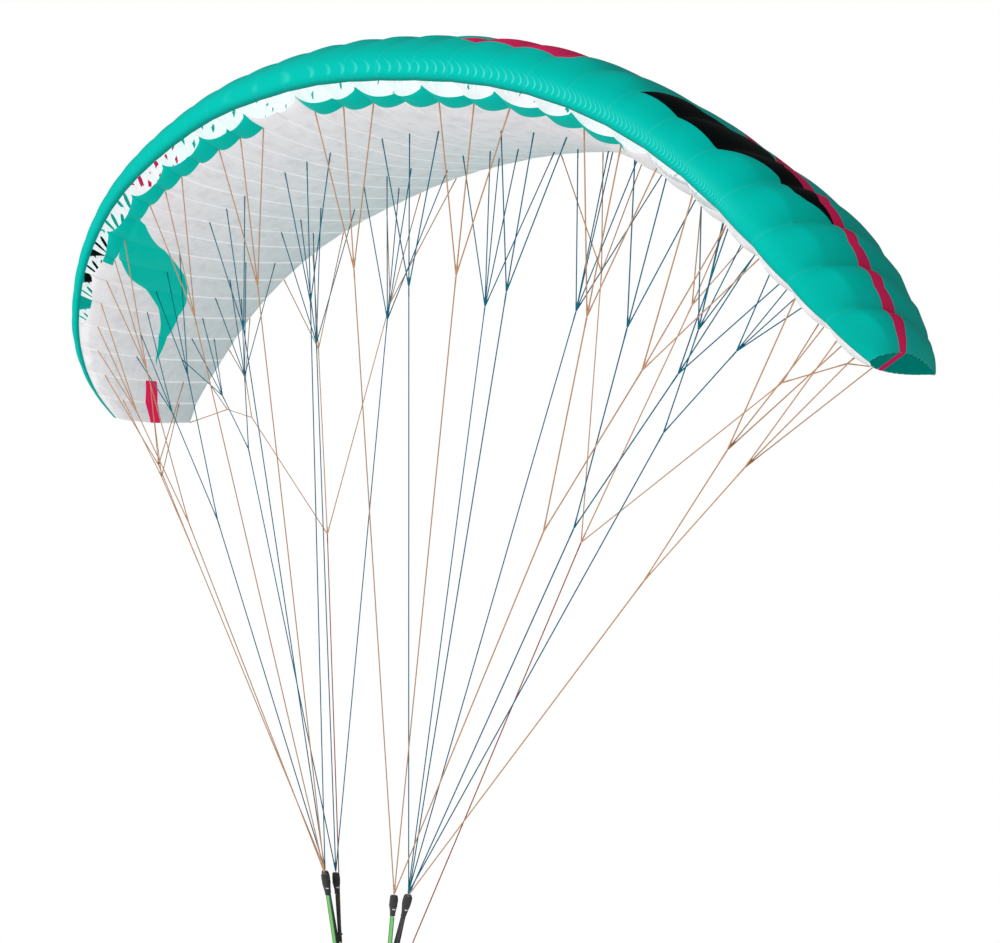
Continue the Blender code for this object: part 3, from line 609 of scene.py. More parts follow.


# %% [markdown]
# ## Front bands and lower cloth
# Behind the inlets runs a scalloped band, teal with a few white runs. The rest of the underside is white
# and sheer: pale seam tapes show along the ribs, grey smudges in the cells are painted shadows of the ribs
# seen through it, and painted shade, with the teal of the top painted in, turns it greyer and greener
# towards the tail, where the two skins come together. A tapering teal flash and a short magenta strip are
# sewn into its left half. All are masks over the rib number and the share of the chord, as on the top.

# %% Front cloth and lower cloth
SEAM_TAPE = (0.93, 0.93, 0.94, 1)
# Grey-green towards the tail: painted shade, with the teal of the top painted in.
TAIL_PAINTED_SHADE = (0.62, 0.70, 0.71, 1)
# Grey smudges: painted shadows of the ribs, seen through the sheer cloth.
RIB_PAINTED_SHADOW = (0.42, 0.40, 0.41, 1)
PENNANT_FRONT = ((7.7, .11), (9.4, .11), (10.2, .16), (11.2, .33), (12.2, .43), (14.2, .485))
PENNANT_REAR = ((7.7, .11), (8.6, .22), (9.6, .38), (10.5, .48), (11.6, .53), (14.2, .49))
STRIP_FRONT = ((15.0, .435), (17, .43))
STRIP_REAR = ((15.0, .525), (16, .555), (17, .56))


def make_front_cloth(name, *white_runs):
    """Cloth of the scalloped band behind the inlets: teal, and white in each run (first rib, last rib)."""
    made, tree, out = material(name)
    rib, _, share, _ = on_wing(tree)
    weave = use(tree, "ripstop")
    seams = use(tree, "seams", {"Rib": rib, "Length": share, "Width": 0.006})
    white = 0.0
    for first, last in white_runs:
        white = calc(tree, "ADD", white, calc(tree, "MULTIPLY", calc(tree, "GREATER_THAN", rib, first),
                                              calc(tree, "LESS_THAN", rib, last)))
    colour = mix(tree, white, TEAL, WHITE)
    colour = mix(tree, calc(tree, "MULTIPLY", seams.outputs["Seam"], 0.2), colour, TEAL_DEEP)
    height = calc(tree, "MULTIPLY_ADD", weave.outputs["Height"], 0.01, seams.outputs["Pucker"])
    # lit: a painted glow of the cloth's own colour, stronger on the white runs.
    cloth(tree, out, colour, height, bump=0.15, lit=calc(tree, "MULTIPLY_ADD", white, 0.11, 0.15))
    return made


def make_lower_cloth():
    """White sheer lower cloth: pale seams, painted shadows of the ribs, painted shade greyer and greener to
    the tail, with teal and magenta insets.
    """
    made, tree, out = material("lower cloth")
    rib, size, share, _ = on_wing(tree)
    weave = use(tree, "ripstop")
    seams = use(tree, "seams", {"Rib": rib, "Length": calc(tree, "MULTIPLY", share, 1.9), "Width": 0.012})
    # Greyer and greener towards the tail: painted shade, with the teal top's colour painted in.
    back = remap(tree, share, 0.15, 1.0)
    white = mix(tree, back, WHITE, TAIL_PAINTED_SHADE)
    # The smudges are painted shadows of the ribs, seen through the sheer cloth.
    stretched = add(tree, "CombineXYZ", {0: calc(tree, "MULTIPLY", rib, 3.0),
                                         1: calc(tree, "MULTIPLY", share, 22.0)}).outputs[0]
    painted_rib_shadow_noise = add(tree, "TexNoise", {"Vector": stretched, "Scale": 1.0, "Detail": 3.0, "Roughness": 0.6})
    white = mix(tree, remap(tree, painted_rib_shadow_noise.outputs["Fac"], 0.45, 0.75, 0.0, 0.24), white, RIB_PAINTED_SHADOW)
    white = mix(tree, calc(tree, "MULTIPLY", seams.outputs["Seam"], 0.75), white, SEAM_TAPE)
    left = calc(tree, "LESS_THAN", rib, 0.0)
    pennant = between(tree, size, share, PENNANT_FRONT, PENNANT_REAR, "AUTO_CLAMPED")
    strip = between(tree, size, share, STRIP_FRONT, STRIP_REAR)
    colour = mix(tree, calc(tree, "MULTIPLY", left, strip), white, MAGENTA)
    colour = mix(tree, calc(tree, "MULTIPLY", left, pennant), colour, TEAL)
    height = calc(tree, "MULTIPLY", seams.outputs["Stitch"], 0.1)
    for bumps, strength in ((seams.outputs["Pucker"], 0.5), (weave.outputs["Height"], 0.01)):
        height = calc(tree, "MULTIPLY_ADD", bumps, strength, height)
    # lit: a painted glow of the cloth's own colour.
    cloth(tree, out, colour, height, bump=0.2, glow=0.20, clear=0.06, lit=0.30)
    return made


FRONT = make_front_cloth("front cloth", (-14, -10.2), (10.35, 14))
FRONT_WHITE = make_front_cloth("white front cloth", (-2, 2))
LOWER = make_lower_cloth()
print("made", ", ".join(made.name for made in (FRONT, FRONT_WHITE, LOWER)))


# %% [markdown]
# ## Rib cloth
# Ribs are cut from harder cloth without gloss. The inner ones are white, with a painted glow of their own
# colour that stands in for the daylight between the skins. The two at the tips close the wing: they are
# deep teal, darker than the top's teal as painted shade, and the magenta stripe of the top runs on over
# them.

# %% Rib cloth
def make_rib_cloth(name, colour, dark, glow, lit, strip=(0.0, 0.0)):
    """Hard rib cloth with a fine weave, and a magenta strip on it from and to a distance behind the nose."""
    made, tree, out = material(name)
    weave = use(tree, "ripstop")
    colour = mix(tree, calc(tree, "MULTIPLY", weave.outputs["Yarn"], 0.15), colour, dark)
    if strip[1]:
        from_nose, _, _ = uv_map(tree)
        on_strip = calc(tree, "MULTIPLY", calc(tree, "GREATER_THAN", from_nose, strip[0]),
                        calc(tree, "LESS_THAN", from_nose, strip[1]))
        colour = mix(tree, on_strip, colour, MAGENTA)
    cloth(tree, out, colour, weave.outputs["Height"], bump=0.1, glow=glow, shine=0.0, lit=lit)
    return made


# The inner ribs glow with painted light (lit 0.60), for the daylight between the skins.
RIB = make_rib_cloth("rib cloth", (0.82, 0.82, 0.83, 1), (0.6, 0.6, 0.6, 1), 0.25, 0.60)
# The tip ribs are deep teal, darker than the top, as painted shade.
TIP_RIB = make_rib_cloth("tip rib cloth", TEAL_DEEP, TEAL, 0.10, 0.0, (0.152, 0.211))
print("made", ", ".join(made.name for made in (RIB, TIP_RIB)))


# %% [markdown]
# ## Lines, webbing and covers: materials
# Lines are braided, risers are woven webbing, and a stretch sleeve covers the joint between them. From afar
# only the colours tell, and close by the braid, the herringbone and the knit are there as bumps. They are
# worked out from the UV map, so they follow a line wherever it goes.

# %% Line and fitting materials
THREAD = (0.55, 0.55, 0.55, 1)
COVER_BLACK = (0.006, 0.006, 0.008, 1)
COVER_GREY = (0.03, 0.03, 0.035, 1)
COVER_MARK = (0.60, 0.62, 0.64, 1)


def make_line(name, colour, dark):
    """Braided line: slanting strands round it, from the UV map (turns round, metres along)."""
    made, tree, out = material(name)
    round_it, along, _ = uv_map(tree)
    climb = calc(tree, "MULTIPLY", along, 160.0)
    strands = [calc(tree, "PINGPONG", calc(tree, "MULTIPLY_ADD", round_it, slant, climb), 0.5)
               for slant in (4.0, -4.0)]
    braid = calc(tree, "MAXIMUM", *strands)
    slow = add(tree, "TexNoise", {"Vector": add(tree, "TexCoord").outputs["Object"], "Scale": 9.0})
    colour = mix(tree, calc(tree, "MULTIPLY", braid, 0.5), colour, dark)
    colour = mix(tree, remap(tree, slow.outputs["Fac"], 0.4, 0.7, 0.0, 0.2), colour, dark)
    normal = add(tree, "Bump", {"Strength": 0.5, "Distance": 0.001, "Height": braid}).outputs[0]
    thread = add(tree, "BsdfPrincipled", {"Base Color": colour, "Roughness": 0.6, "Normal": normal,
                                          "Specular IOR Level": 0.0})
    tree.links.new(thread.outputs[0], out.inputs[0])
    return made


def make_webbing(name, colour, edge, rim):
    """Woven webbing: herringbone ribs across it, edges of another shade beyond the rim, and a dashed row of
    thread 2 mm inside the rim; UV (metres across, along)."""
    made, tree, out = material(name)
    across, along, _ = uv_map(tree)
    ribs = calc(tree, "PINGPONG", calc(tree, "ADD", along, calc(tree, "PINGPONG", across, 0.0025)), 0.0008)
    height = remap(tree, ribs, 0.0, 0.0008)
    from_middle = calc(tree, "ABSOLUTE", across)
    near_edge = remap(tree, from_middle, rim, rim + 0.0008)
    colour = mix(tree, near_edge, mix(tree, calc(tree, "MULTIPLY", height, 0.25), colour, edge), edge)
    from_row = calc(tree, "ABSOLUTE", calc(tree, "SUBTRACT", from_middle, rim - 0.002))
    dash = calc(tree, "GREATER_THAN", calc(tree, "FRACT", calc(tree, "MULTIPLY", along, 220.0)), 0.4)
    thread = calc(tree, "MULTIPLY", remap(tree, from_row, 0.0003, 0.0006, 1, 0), dash)
    colour = mix(tree, calc(tree, "MULTIPLY", thread, 0.6), colour, THREAD)
    total = calc(tree, "ADD", height, thread)
    normal = add(tree, "Bump", {"Strength": 0.5, "Distance": 0.0008, "Height": total}).outputs[0]
    woven = add(tree, "BsdfPrincipled", {"Base Color": colour, "Roughness": 0.7, "Normal": normal,
                                         "Sheen Weight": 0.25})
    tree.links.new(woven.outputs[0], out.inputs[0])
    return made


def make_cover_cloth():
    """Black stretch cloth with a small light bar woven in; UV (turns round, metres down from its top)."""
    made, tree, out = material("cover cloth")
    round_it, down, _ = uv_map(tree)
    knit = add(tree, "TexNoise", {"Vector": add(tree, "TexCoord").outputs["Object"], "Scale": 900.0})
    inside = []
    for measure, middle, half in ((round_it, 0.91, 0.080), (down, 0.086, 0.0035)):
        away = calc(tree, "ABSOLUTE", calc(tree, "SUBTRACT", measure, middle))
        inside.append(remap(tree, away, half, half * 1.15, 1, 0))
    bar = calc(tree, "MULTIPLY", *inside)
    colour = mix(tree, calc(tree, "MULTIPLY", knit.outputs["Fac"], 0.6), COVER_BLACK, COVER_GREY)
    colour = mix(tree, bar, colour, COVER_MARK)
    normal = add(tree, "Bump", {"Strength": 0.4, "Distance": 0.001, "Height": knit.outputs["Fac"]}).outputs[0]
    sleeve = add(tree, "BsdfPrincipled", {"Base Color": colour, "Roughness": 0.75, "Normal": normal,
                                          "Sheen Weight": 0.4})
    tree.links.new(sleeve.outputs[0], out.inputs[0])
    return made


LINE_ORANGE = make_line("orange line", (0.560, 0.310, 0.170, 1), (0.40, 0.21, 0.11, 1))
LINE_BLUE = make_line("blue line", (0.010, 0.160, 0.245, 1), (0.00, 0.10, 0.16, 1))
LINE_RED = make_line("red line", (0.380, 0.090, 0.040, 1), (0.25, 0.05, 0.02, 1))
WEBBING_GREEN = make_webbing("green webbing", (0.165, 0.600, 0.130, 1), (0.020, 0.160, 0.030, 1), 0.0115)
WEBBING_BLACK = make_webbing("black webbing", (0.020, 0.020, 0.023, 1), (0.008, 0.008, 0.010, 1), 0.0125)
COVER = make_cover_cloth()
print("line and fitting materials ready")


# %% [markdown]
# ## Lines
# A wing hangs on cascades: a long line from a riser splits at a knot into several, and some of those split
# again before they meet the cloth. Taut lines are straight, so each is a thin tube through a few knots. The
# long lower and middle lines are made one by one, each its own piece, and each row's thin upper lines are
# one piece a side. The knots are listed for the right side, and the left side mirrors them.

# %% Line tables
KNOTS = {
    "A1": (0.470, -0.503, 4.345),
    "A2": (1.262, -0.441, 4.222),
    "A3": (1.691, -0.194, 2.795),
    "A3a": (2.084, -0.302, 3.930),
    "A3b": (2.369, -0.208, 3.635),
    "B1": (0.478, -0.061, 4.287),
    "B2": (1.265, -0.027, 4.177),
    "B3": (1.697, 0.061, 2.809),
    "B3a": (2.078, 0.054, 3.905),
    "B3b": (2.372, 0.110, 3.639),
    "C1": (0.475, 0.632, 4.239),
    "C2": (1.253, 0.627, 4.133),
    "C3": (1.971, 0.540, 3.354),
    "C3a": (2.150, 0.632, 3.941),
    "C3b": (2.417, 0.611, 3.797),
    "S": (2.113, 0.154, 2.528),
    "S1": (2.642, 0.165, 3.232),
    "S2": (2.703, 0.233, 3.140),
    "guide": (0.3175, 0.0796, 0.080),
    "K": (1.223, 0.712, 2.701),
    "K1": (1.029, 1.168, 4.470),
    "K2": (1.795, 1.093, 4.167),
    "K3": (2.498, 0.962, 3.639),
    "K3a": (2.699, 1.045, 3.985),
    "K3b": (2.887, 0.995, 3.724),
}
RISER_TOPS = {"A": (0.336, -0.046, 0.500), "B": (0.404, 0.014, 0.495), "C": (0.349, 0.061, 0.483)}
RISER_FOOT = {"A": (0.257, -0.023, 0.0), "B": (0.257, 0.000, 0.0), "C": (0.257, 0.023, 0.0)}
HANDLE_TOP = (0.3180, 0.0850, -0.010)
KNOT_RADIUS = 0.0078
SEAT = KNOT_RADIUS + 0.0003     # a row's lines start this far above its cover: a knot and a 0.3 mm gap
# Thickness of a line near its ends, where its loop is sewn back into it: (distance from the end, share).
SEWN_END = ((0, 0.5), (0.004, 1.12), (0.060, 1.12), (0.064, 0.94))
INNER_START = 0.090             # a line's evenly spaced points start this far from its ends

# Row: slot, colour of its upper lines, row of the CAD node that holds it.
ROWS = {
    "A": ("line_orange", LINE_ORANGE, "A"),
    "B": ("line_blue", LINE_BLUE, "B"),
    "S": ("line_orange", LINE_ORANGE, "B"),
    "C": ("line_blue", LINE_BLUE, "C"),
    "brake": ("line_brake", LINE_ORANGE, "brake"),
}
# Row, colour, then lines as knots from below upwards: the long ones, each made as its own piece.
LONG_LINES = (
    ("A", LINE_ORANGE, (("foot", "A1"), ("foot", "A2"), ("foot", "A3"), ("A3", "A3a"), ("A3", "A3b"))),
    ("B", LINE_BLUE, (("foot", "B1"), ("foot", "B2"), ("foot", "B3"), ("B3", "B3a"), ("B3", "B3b"))),
    ("B", LINE_ORANGE, (("foot", "S"),)),
    ("C", LINE_BLUE, (("foot", "C1"), ("foot", "C2"), ("foot", "C3"), ("C3", "C3a"), ("C3", "C3b"))),
    ("brake", LINE_RED, (("foot", "guide", "K"),)),
    ("brake", LINE_ORANGE, (("K", "K1"), ("K", "K2"), ("K", "K3"))),
)
# Row, knot below, then what its short upper lines go up to: knots, or places as (row, rib) or (share, rib).
UPPER_LINES = (
    ("A", "A1", (("A", 1), ("A", 2), ("A", 3))),
    ("A", "A2", (("A", 5), ("A", 6), ("A", 7))),
    ("A", "A3a", (("A", 9), ("A", 10), ("A", 11))),
    ("A", "A3b", (("A", 12), ("A", 13), ("A", 14))),
    ("B", "B1", (("B", 1), ("B", 2), ("B", 3))),
    ("B", "B2", (("B", 5), ("B", 6), ("B", 7))),
    ("B", "B3a", (("B", 9), ("B", 10), ("B", 11))),
    ("B", "B3b", (("B", 12), ("B", 13), ("B", 14))),
    ("S", "S", ("S1", "S2")),
    ("S", "S1", ((0.13, 15), (0.47, 15), (0.76, 15))),
    ("S", "S2", ((0.22, 16), (0.50, 16), (0.79, 16))),
    ("C", "C1", (("C", 1), ("C", 2), ("C", 3), ("D", 1), ("D", 3))),
    ("C", "C2", (("C", 5), ("C", 6), ("C", 7), ("D", 5), ("D", 7))),
    ("C", "C3a", (("C", 9), ("C", 10), ("C", 11), ("D", 9), ("D", 11))),
    ("C", "C3b", (("C", 12), ("C", 13), ("C", 14), ("D", 13))),
    ("brake", "K1", (("tail", 2), ("tail", 3.5), ("tail", 5))),
    ("brake", "K2", (("tail", 7), ("tail", 8.5), ("tail", 10))),
    ("brake", "K3", ("K3a", "K3b")),
    ("brake", "K3a", (("tail", 12), ("tail", 13.5))),
    ("brake", "K3b", (("tail", 15), ("tail", 17))),
)
SIDES = (("left", -1), ("right", 1))


# %% Line functions
def attachment(place):
    """Where a line meets the underside, just clear of the skin, on the right side: at a row or share of the
    chord, and a rib."""
    row, number = place
    share = np.array([LINE_ROWS.get(row, row)])
    at_rib = rib_frame(float(number))
    middle_of_cell = 1 - abs(1 - 2 * (number % 1))
    lift = SKIN_LIFT + SKIN / 2 + LINE_END_GAP
    lift += middle_of_cell * cell_width(number) * float(np.interp(share, *np.transpose(UNDER_BULGE))[0])
    normal = turned(at_rib, outward(under_outline, share, -1))
    return (in_space(at_rib, under_outline(share)) + lift * normal)[0]


def line_end(name, row, mirror):
    """Place in space of a line's end: its row's lowest knot, another knot, or an attachment."""
    if name == "foot":
        place = HANDLE_TOP if row == "brake" else np.add(RISER_TOPS[row], (0, 0, SEAT))
    else:
        place = KNOTS[name] if name in KNOTS else attachment(name)
    return np.multiply(place, (mirror, 1, 1))


def tube(path, radii, sides=8):
    """Round tube through points: rings square to the path, each a circle of its radius in the plane of two
    directions across it; its faces and UV (turns round, metres along)."""
    path = np.asarray(path, float)
    way = np.gradient(path, axis=0)
    way /= np.linalg.norm(way, axis=1, keepdims=True)
    across = np.cross(way, (0.35, 0.9, 0.25))
    across /= np.linalg.norm(across, axis=1, keepdims=True)
    other = np.cross(way, across)
    angle = np.arange(sides) * 2 * math.pi / sides
    rings = np.cos(angle)[None, :, None] * across[:, None] + np.sin(angle)[None, :, None] * other[:, None]
    points = path[:, None] + rings * np.broadcast_to(radii, len(path))[:, None, None]
    uv = np.stack(np.broadcast_arrays(np.arange(sides) / sides, run_length(path)[:, None]), -1)
    return points.reshape(-1, 3), grid_faces(len(path), sides, wrap=True), uv.reshape(-1, 2)


def line_path(ends, step=0.12):
    """Points along a taut line through its ends, close together beside each of them."""
    near = np.array([at for at, _ in SEWN_END[1:]])
    points = [ends[0]]
    for start, end in zip(ends, ends[1:]):
        length = np.linalg.norm(np.subtract(end, start))
        inner = np.linspace(INNER_START, length - INNER_START, max(2, int(length / step)))
        stops = np.concatenate([near, inner, length - near[::-1], [length]])
        points += list(start + np.outer(stops / length, np.subtract(end, start)))
    return np.array(points)


def sewn_radii(path):
    """Radius along a line: its own, times the share in SEWN_END at each point's distance from an end."""
    length = run_length(path)
    return LINE_RADIUS * np.interp(np.minimum(length, length[-1] - length), *np.transpose(SEWN_END))


# %% Long lines
count = 0
for row, colour, lines in LONG_LINES:
    for side, mirror in SIDES:
        for names in lines:
            ends = [line_end(name, row, mirror) for name in names]
            path = line_path(ends)
            name = f"line_{names[0]}_{names[-1]}_{row}_{side}"
            line = mesh_piece(name, *tube(path, sewn_radii(path)), None, ROWS[row][0], colour,
                              [f"lines_{row}_{side}"])
            count += 1
print("declared lines:", count)


# %% Upper lines
def joined(pieces):
    """One mesh out of several: points, faces and UV, with the faces renumbered."""
    points, faces, uvs, start = [], [], [], 0
    for more_points, more_faces, more_uv in pieces:
        points.append(more_points)
        faces.append(more_faces + start)
        uvs.append(more_uv)
        start += len(more_points)
    return np.concatenate(points), np.concatenate(faces), np.concatenate(uvs)


for side, mirror in SIDES:
    for row, (slot, colour, cad_row) in ROWS.items():
        paths = [line_path([line_end(below, row, mirror), line_end(up, row, mirror)], step=0.2)
                 for own_row, below, ups in UPPER_LINES if own_row == row for up in ups]
        tubes = [tube(path, sewn_radii(path), sides=6) for path in paths]
        mesh_piece(f"upper_lines_{row}_{side}", *joined(tubes), None, slot, colour,
                   [f"lines_{cad_row}_{side}"])
        print(f"upper lines {row} {side}: {len(tubes)}")


# %% [markdown]
# ## Skins
# The skins are the nose band and the upper surface, the scalloped front bands and the lower surface. Each
# panel is one sheet of cloth that swells between the ribs it is sewn to. A cloth simulation could blow it
# up, but it is slow and would stray from the frame. Here the swell is a parabola over each cell, along the
# profile's normal.

# %% Skin functions
CELL_SAMPLES = 12
SKIN_THICKNESS = 0.0012


def rib_samples(first, last):
    """Rib numbers of a panel's rows of points."""
    return np.linspace(first, last, (last - first) * CELL_SAMPLES + 1)


def panel(name, first, last, at, top, slot, cloth_material, nodes):
    """Skin panel as a piece, thickened into a sheet, with its UV map in metres: width along the arc by length
    round the outline."""
    ribs = rib_samples(first, last)
    at = np.broadcast_to(at, (len(ribs), np.shape(at)[-1]))
    points, outline = skin_points(ribs, at, top)
    chord = station("chord", ribs)[:, None]
    width = arc_length(ribs) * np.sign(ribs)
    steps = np.linalg.norm(np.diff(outline, axis=1), axis=-1) * chord
    length = np.cumsum(np.concatenate([0 * chord, steps], 1), 1)
    start = (at[:, :1] if top else outline[:, :1, 0]) * chord
    uv = np.stack([np.broadcast_to(width[:, None], at.shape), length + start], -1)
    round_outline = at if top else outline[..., 0]
    place = np.stack([np.broadcast_to(ribs[:, None], at.shape), outline[..., 0], round_outline], -1)
    faces = grid_faces(*at.shape)
    piece = mesh_piece(name, points.reshape(-1, 3), faces[:, ::-1] if top else faces, uv.reshape(-1, 2),
                       place.reshape(-1, 3), slot, cloth_material, nodes)
    thicken(piece, SKIN_THICKNESS)


# %% Nose and upper surface
# Lengths of the rows of points round the outline, closer together towards the nose.
NOSE_STEPS = np.concatenate([np.linspace(0, NOSE_LENGTH, 9), np.linspace(NOSE_LENGTH, BAND_LENGTH, 11)[1:]])
UPPER_STEPS = BAND_LENGTH + (TOP_LENGTH - BAND_LENGTH) * np.linspace(0, 1, 52)**1.35
for side, first, last in (("left", -17, -6), ("middle", -6, 6), ("right", 6, 17)):
    for part, steps in (("nose", NOSE_STEPS), ("upper", UPPER_STEPS)):
        panel(f"{part}_skin_{side}", first, last, steps, True, f"{part}_cloth", UPPER, [f"{part}_{side}"])


# %% Front bands and lower surface
FRONT_EDGE = 0.042
SCALLOP_DEPTH = 0.028


def front_edge(ribs):
    """Share of the chord where a front band starts: cusps at the inlet walls, wide scallops between. The
    distance to the nearest odd rib, from 0 to 1, is raised to a power below 1."""
    return FRONT_EDGE + SCALLOP_DEPTH * np.abs(ribs % 2 - 1)**0.45


FRONT_BANDS = (("left_outer", -13, -7), ("left_inner", -7, -1), ("centre", -1, 1), ("right_inner", 1, 7),
               ("right_outer", 7, 13))
LOWER_PANELS = (("left_tip", -17, -13), ("left", -13, -5), ("middle", -5, 5), ("right", 5, 13),
                ("right_tip", 13, 17))
for side, first, last in FRONT_BANDS:
    start = front_edge(rib_samples(first, last))[:, None]
    shares = start + (A_ROW - start) * np.linspace(0, 1, 10)
    slot, band_cloth = ("lower_cloth", FRONT_WHITE) if side == "centre" else ("front_cloth", FRONT)
    panel(f"front_band_{side}", first, last, shares, False, slot, band_cloth, [f"front_{side}"])
BACK = A_ROW + (1 - A_ROW) * np.linspace(0, 1, 44)**1.15
TIP = np.concatenate([np.linspace(LIP[0], A_ROW, 9)[:-1], BACK])
for side, first, last in LOWER_PANELS:
    shares = TIP if "tip" in side else BACK
    panel(f"lower_skin_{side}", first, last, shares, False, "lower_cloth", LOWER, [f"lower_{side}"])


# %% [markdown]
# ## Ribs
# A rib is one sheet with oval cut-outs, which let air pass from cell to cell and save weight: a fan of
# narrow ones from the A line, wider ones behind the other lines. Holes cut with a Boolean leave long thin
# faces. So a rib is laid out as bays between the underside and the top, and each bay is a ring of faces
# round its oval. The two ribs at the tips are whole, and so are the bays at the nose, over the B and C
# lines and at the tail.

# %% Rib bays
# Underside from and to (share of the chord), top from and to (length round the outline), then the oval's half
# size across the bay and along it, as shares of the bay.
RIB_BAYS = (
    (0.020, 0.103, 0.000, 0.060, 0.00, 0.00),
    (0.103, 0.107, 0.060, 0.125, 0.21, 0.31),
    (0.107, 0.111, 0.125, 0.190, 0.23, 0.33),
    (0.111, 0.115, 0.190, 0.250, 0.23, 0.33),
    (0.115, 0.120, 0.250, 0.310, 0.23, 0.32),
    (0.120, 0.205, 0.310, 0.365, 0.27, 0.33),
    (0.205, 0.290, 0.365, 0.415, 0.28, 0.34),
    (0.290, 0.343, 0.415, 0.445, 0.27, 0.33),
    (0.343, 0.357, 0.445, 0.470, 0.00, 0.00),
    (0.357, 0.420, 0.470, 0.510, 0.28, 0.34),
    (0.420, 0.500, 0.510, 0.580, 0.30, 0.34),
    (0.500, 0.580, 0.580, 0.655, 0.30, 0.34),
    (0.580, 0.660, 0.655, 0.735, 0.30, 0.33),
    (0.660, 0.690, 0.735, 0.770, 0.00, 0.00),
    (0.690, 0.755, 0.770, 0.840, 0.28, 0.32),
    (0.755, 0.825, 0.840, 0.910, 0.26, 0.30),
    (0.825, 0.985, 0.910, 1.085, 0.00, 0.00),
)
BAY_TURNS = 28
RING_STEPS = (0, 0.35, 0.70, 1)     # from a bay's oval to its border
PIN_PRICK = (0.01, 0.01)            # half size of the oval of a whole bay


def ring_square(turns):
    """Points round the unit square, as many as turns, starting at the middle of its right side: rays from
    its middle, each as long as it takes to meet the border."""
    angle = np.arange(turns) * 2 * math.pi / turns
    reach = 0.5 / np.maximum(np.abs(np.cos(angle)), np.abs(np.sin(angle)))
    return 0.5 + np.stack([np.cos(angle), np.sin(angle)], -1) * reach[:, None], angle


def bay_mesh(bay, at_rib, inset, whole):
    """Points and faces of one bay, from its oval outwards, or closed to a pin prick where it is whole."""
    under_from, under_to, top_from, top_to, across, along = bay
    square, angle = ring_square(BAY_TURNS)
    oval = PIN_PRICK if whole or not across else (across, along)
    inner = 0.5 + np.stack([np.cos(angle), np.sin(angle)], -1) * oval
    shares = np.stack([inner + (square - inner) * step for step in RING_STEPS])
    u, v = shares[..., 0], shares[..., 1]
    under_at = under_from + (under_to - under_from) * u
    top_at = top_from + (top_to - top_from) * u
    low = under_outline(under_at) - inset * outward(under_outline, under_at, -1)
    high = top_outline(top_at) - inset * outward(top_outline, top_at, 1)
    flat = low + (high - low) * v[..., None]
    faces = grid_faces(len(flat), BAY_TURNS, wrap=True)
    flat = flat.reshape(-1, 2)
    return in_space(at_rib, flat), faces, flat


# %% Sewn ribs
RIB_INSET = 0.0008              # a rib's edge lies this far inside the outline
TIP_RIB_INSET = -0.0014         # a tip's edge lies outside it, so that it closes on the skins
RIB_THICKNESS = 0.0008
OUTER_INLET_RIB = 13
SHORTENED = (0.080, 0.030)      # where a middle rib starts behind an inlet: underside and top
for number in range(-HALF_CELLS, HALF_CELLS + 1):
    at_rib = rib_frame(float(number))
    chord = float(station("chord", float(number)))
    at_tip = abs(number) == HALF_CELLS
    inset = (TIP_RIB_INSET if at_tip else RIB_INSET) / chord
    behind_inlet = number % 2 == 0 and abs(number) < OUTER_INLET_RIB
    bays = []
    for bay in RIB_BAYS:
        if behind_inlet and bay is RIB_BAYS[0]:
            bay = (SHORTENED[0], bay[1], SHORTENED[1], *bay[3:])
        points, faces, flat = bay_mesh(bay, at_rib, inset, at_tip)
        bays.append((points, faces, flat * chord))
    points, faces, uv = joined(bays)
    side = "left" if number < 0 else "right" if number else "mid"
    nodes = [f"rib_{side}_{abs(number):02d}"] if number % 2 else []
    sewn = mesh_piece(f"sewn_rib_{side}_{abs(number):02d}", points, faces, uv, None, "rib_cloth",
                      TIP_RIB if at_tip else RIB, nodes, smooth=False)
    weld = sewn.modifiers.new("bays joined", "WELD")
    weld.merge_threshold = 0.0002
    thicken(sewn, RIB_THICKNESS)
print("ribs sewn:", 2 * HALF_CELLS + 1)


# %% [markdown]
# ## Risers, covers and brakes
# A riser is a strap of webbing from the harness to one row of lines: green for the A row, black for B and
# C. A soft sleeve covers the joint at its top, and a sewn loop at its foot takes the harness. The brake
# line ends in a loop handle. Each is a profile carried along a path, square to it, which keeps webbing the
# same width as it leans and turns.

# %% Straps
WEBBING_WIDTH, WEBBING_THICKNESS = 0.038, 0.0030
GAP = 0.0003                # between neighbouring pieces
COVER_LENGTH = 0.132
LOOP_HALF = (0.036, 0.052)
# Webbing's cross-section: (across, deep), each from -1 to 1, with rounded corners.
STRAP_OUTLINE = ((-1, -0.55), (-0.96, -0.9), (-0.85, -1), (0, -1), (0.85, -1), (0.96, -0.9), (1, -0.55),
                 (1, 0.55), (0.96, 0.9), (0.85, 1), (0, 1), (-0.85, 1), (-0.96, 0.9), (-1, 0.55))
ACROSS, DEEP = np.transpose(STRAP_OUTLINE)
# Thickness of a strap near its ends, where it is doubled and sewn: (distance from the end, share).
STRAP_END = ((0, 0.85), (0.001, 1.0), (0.030, 1.0), (0.032, 0.72))


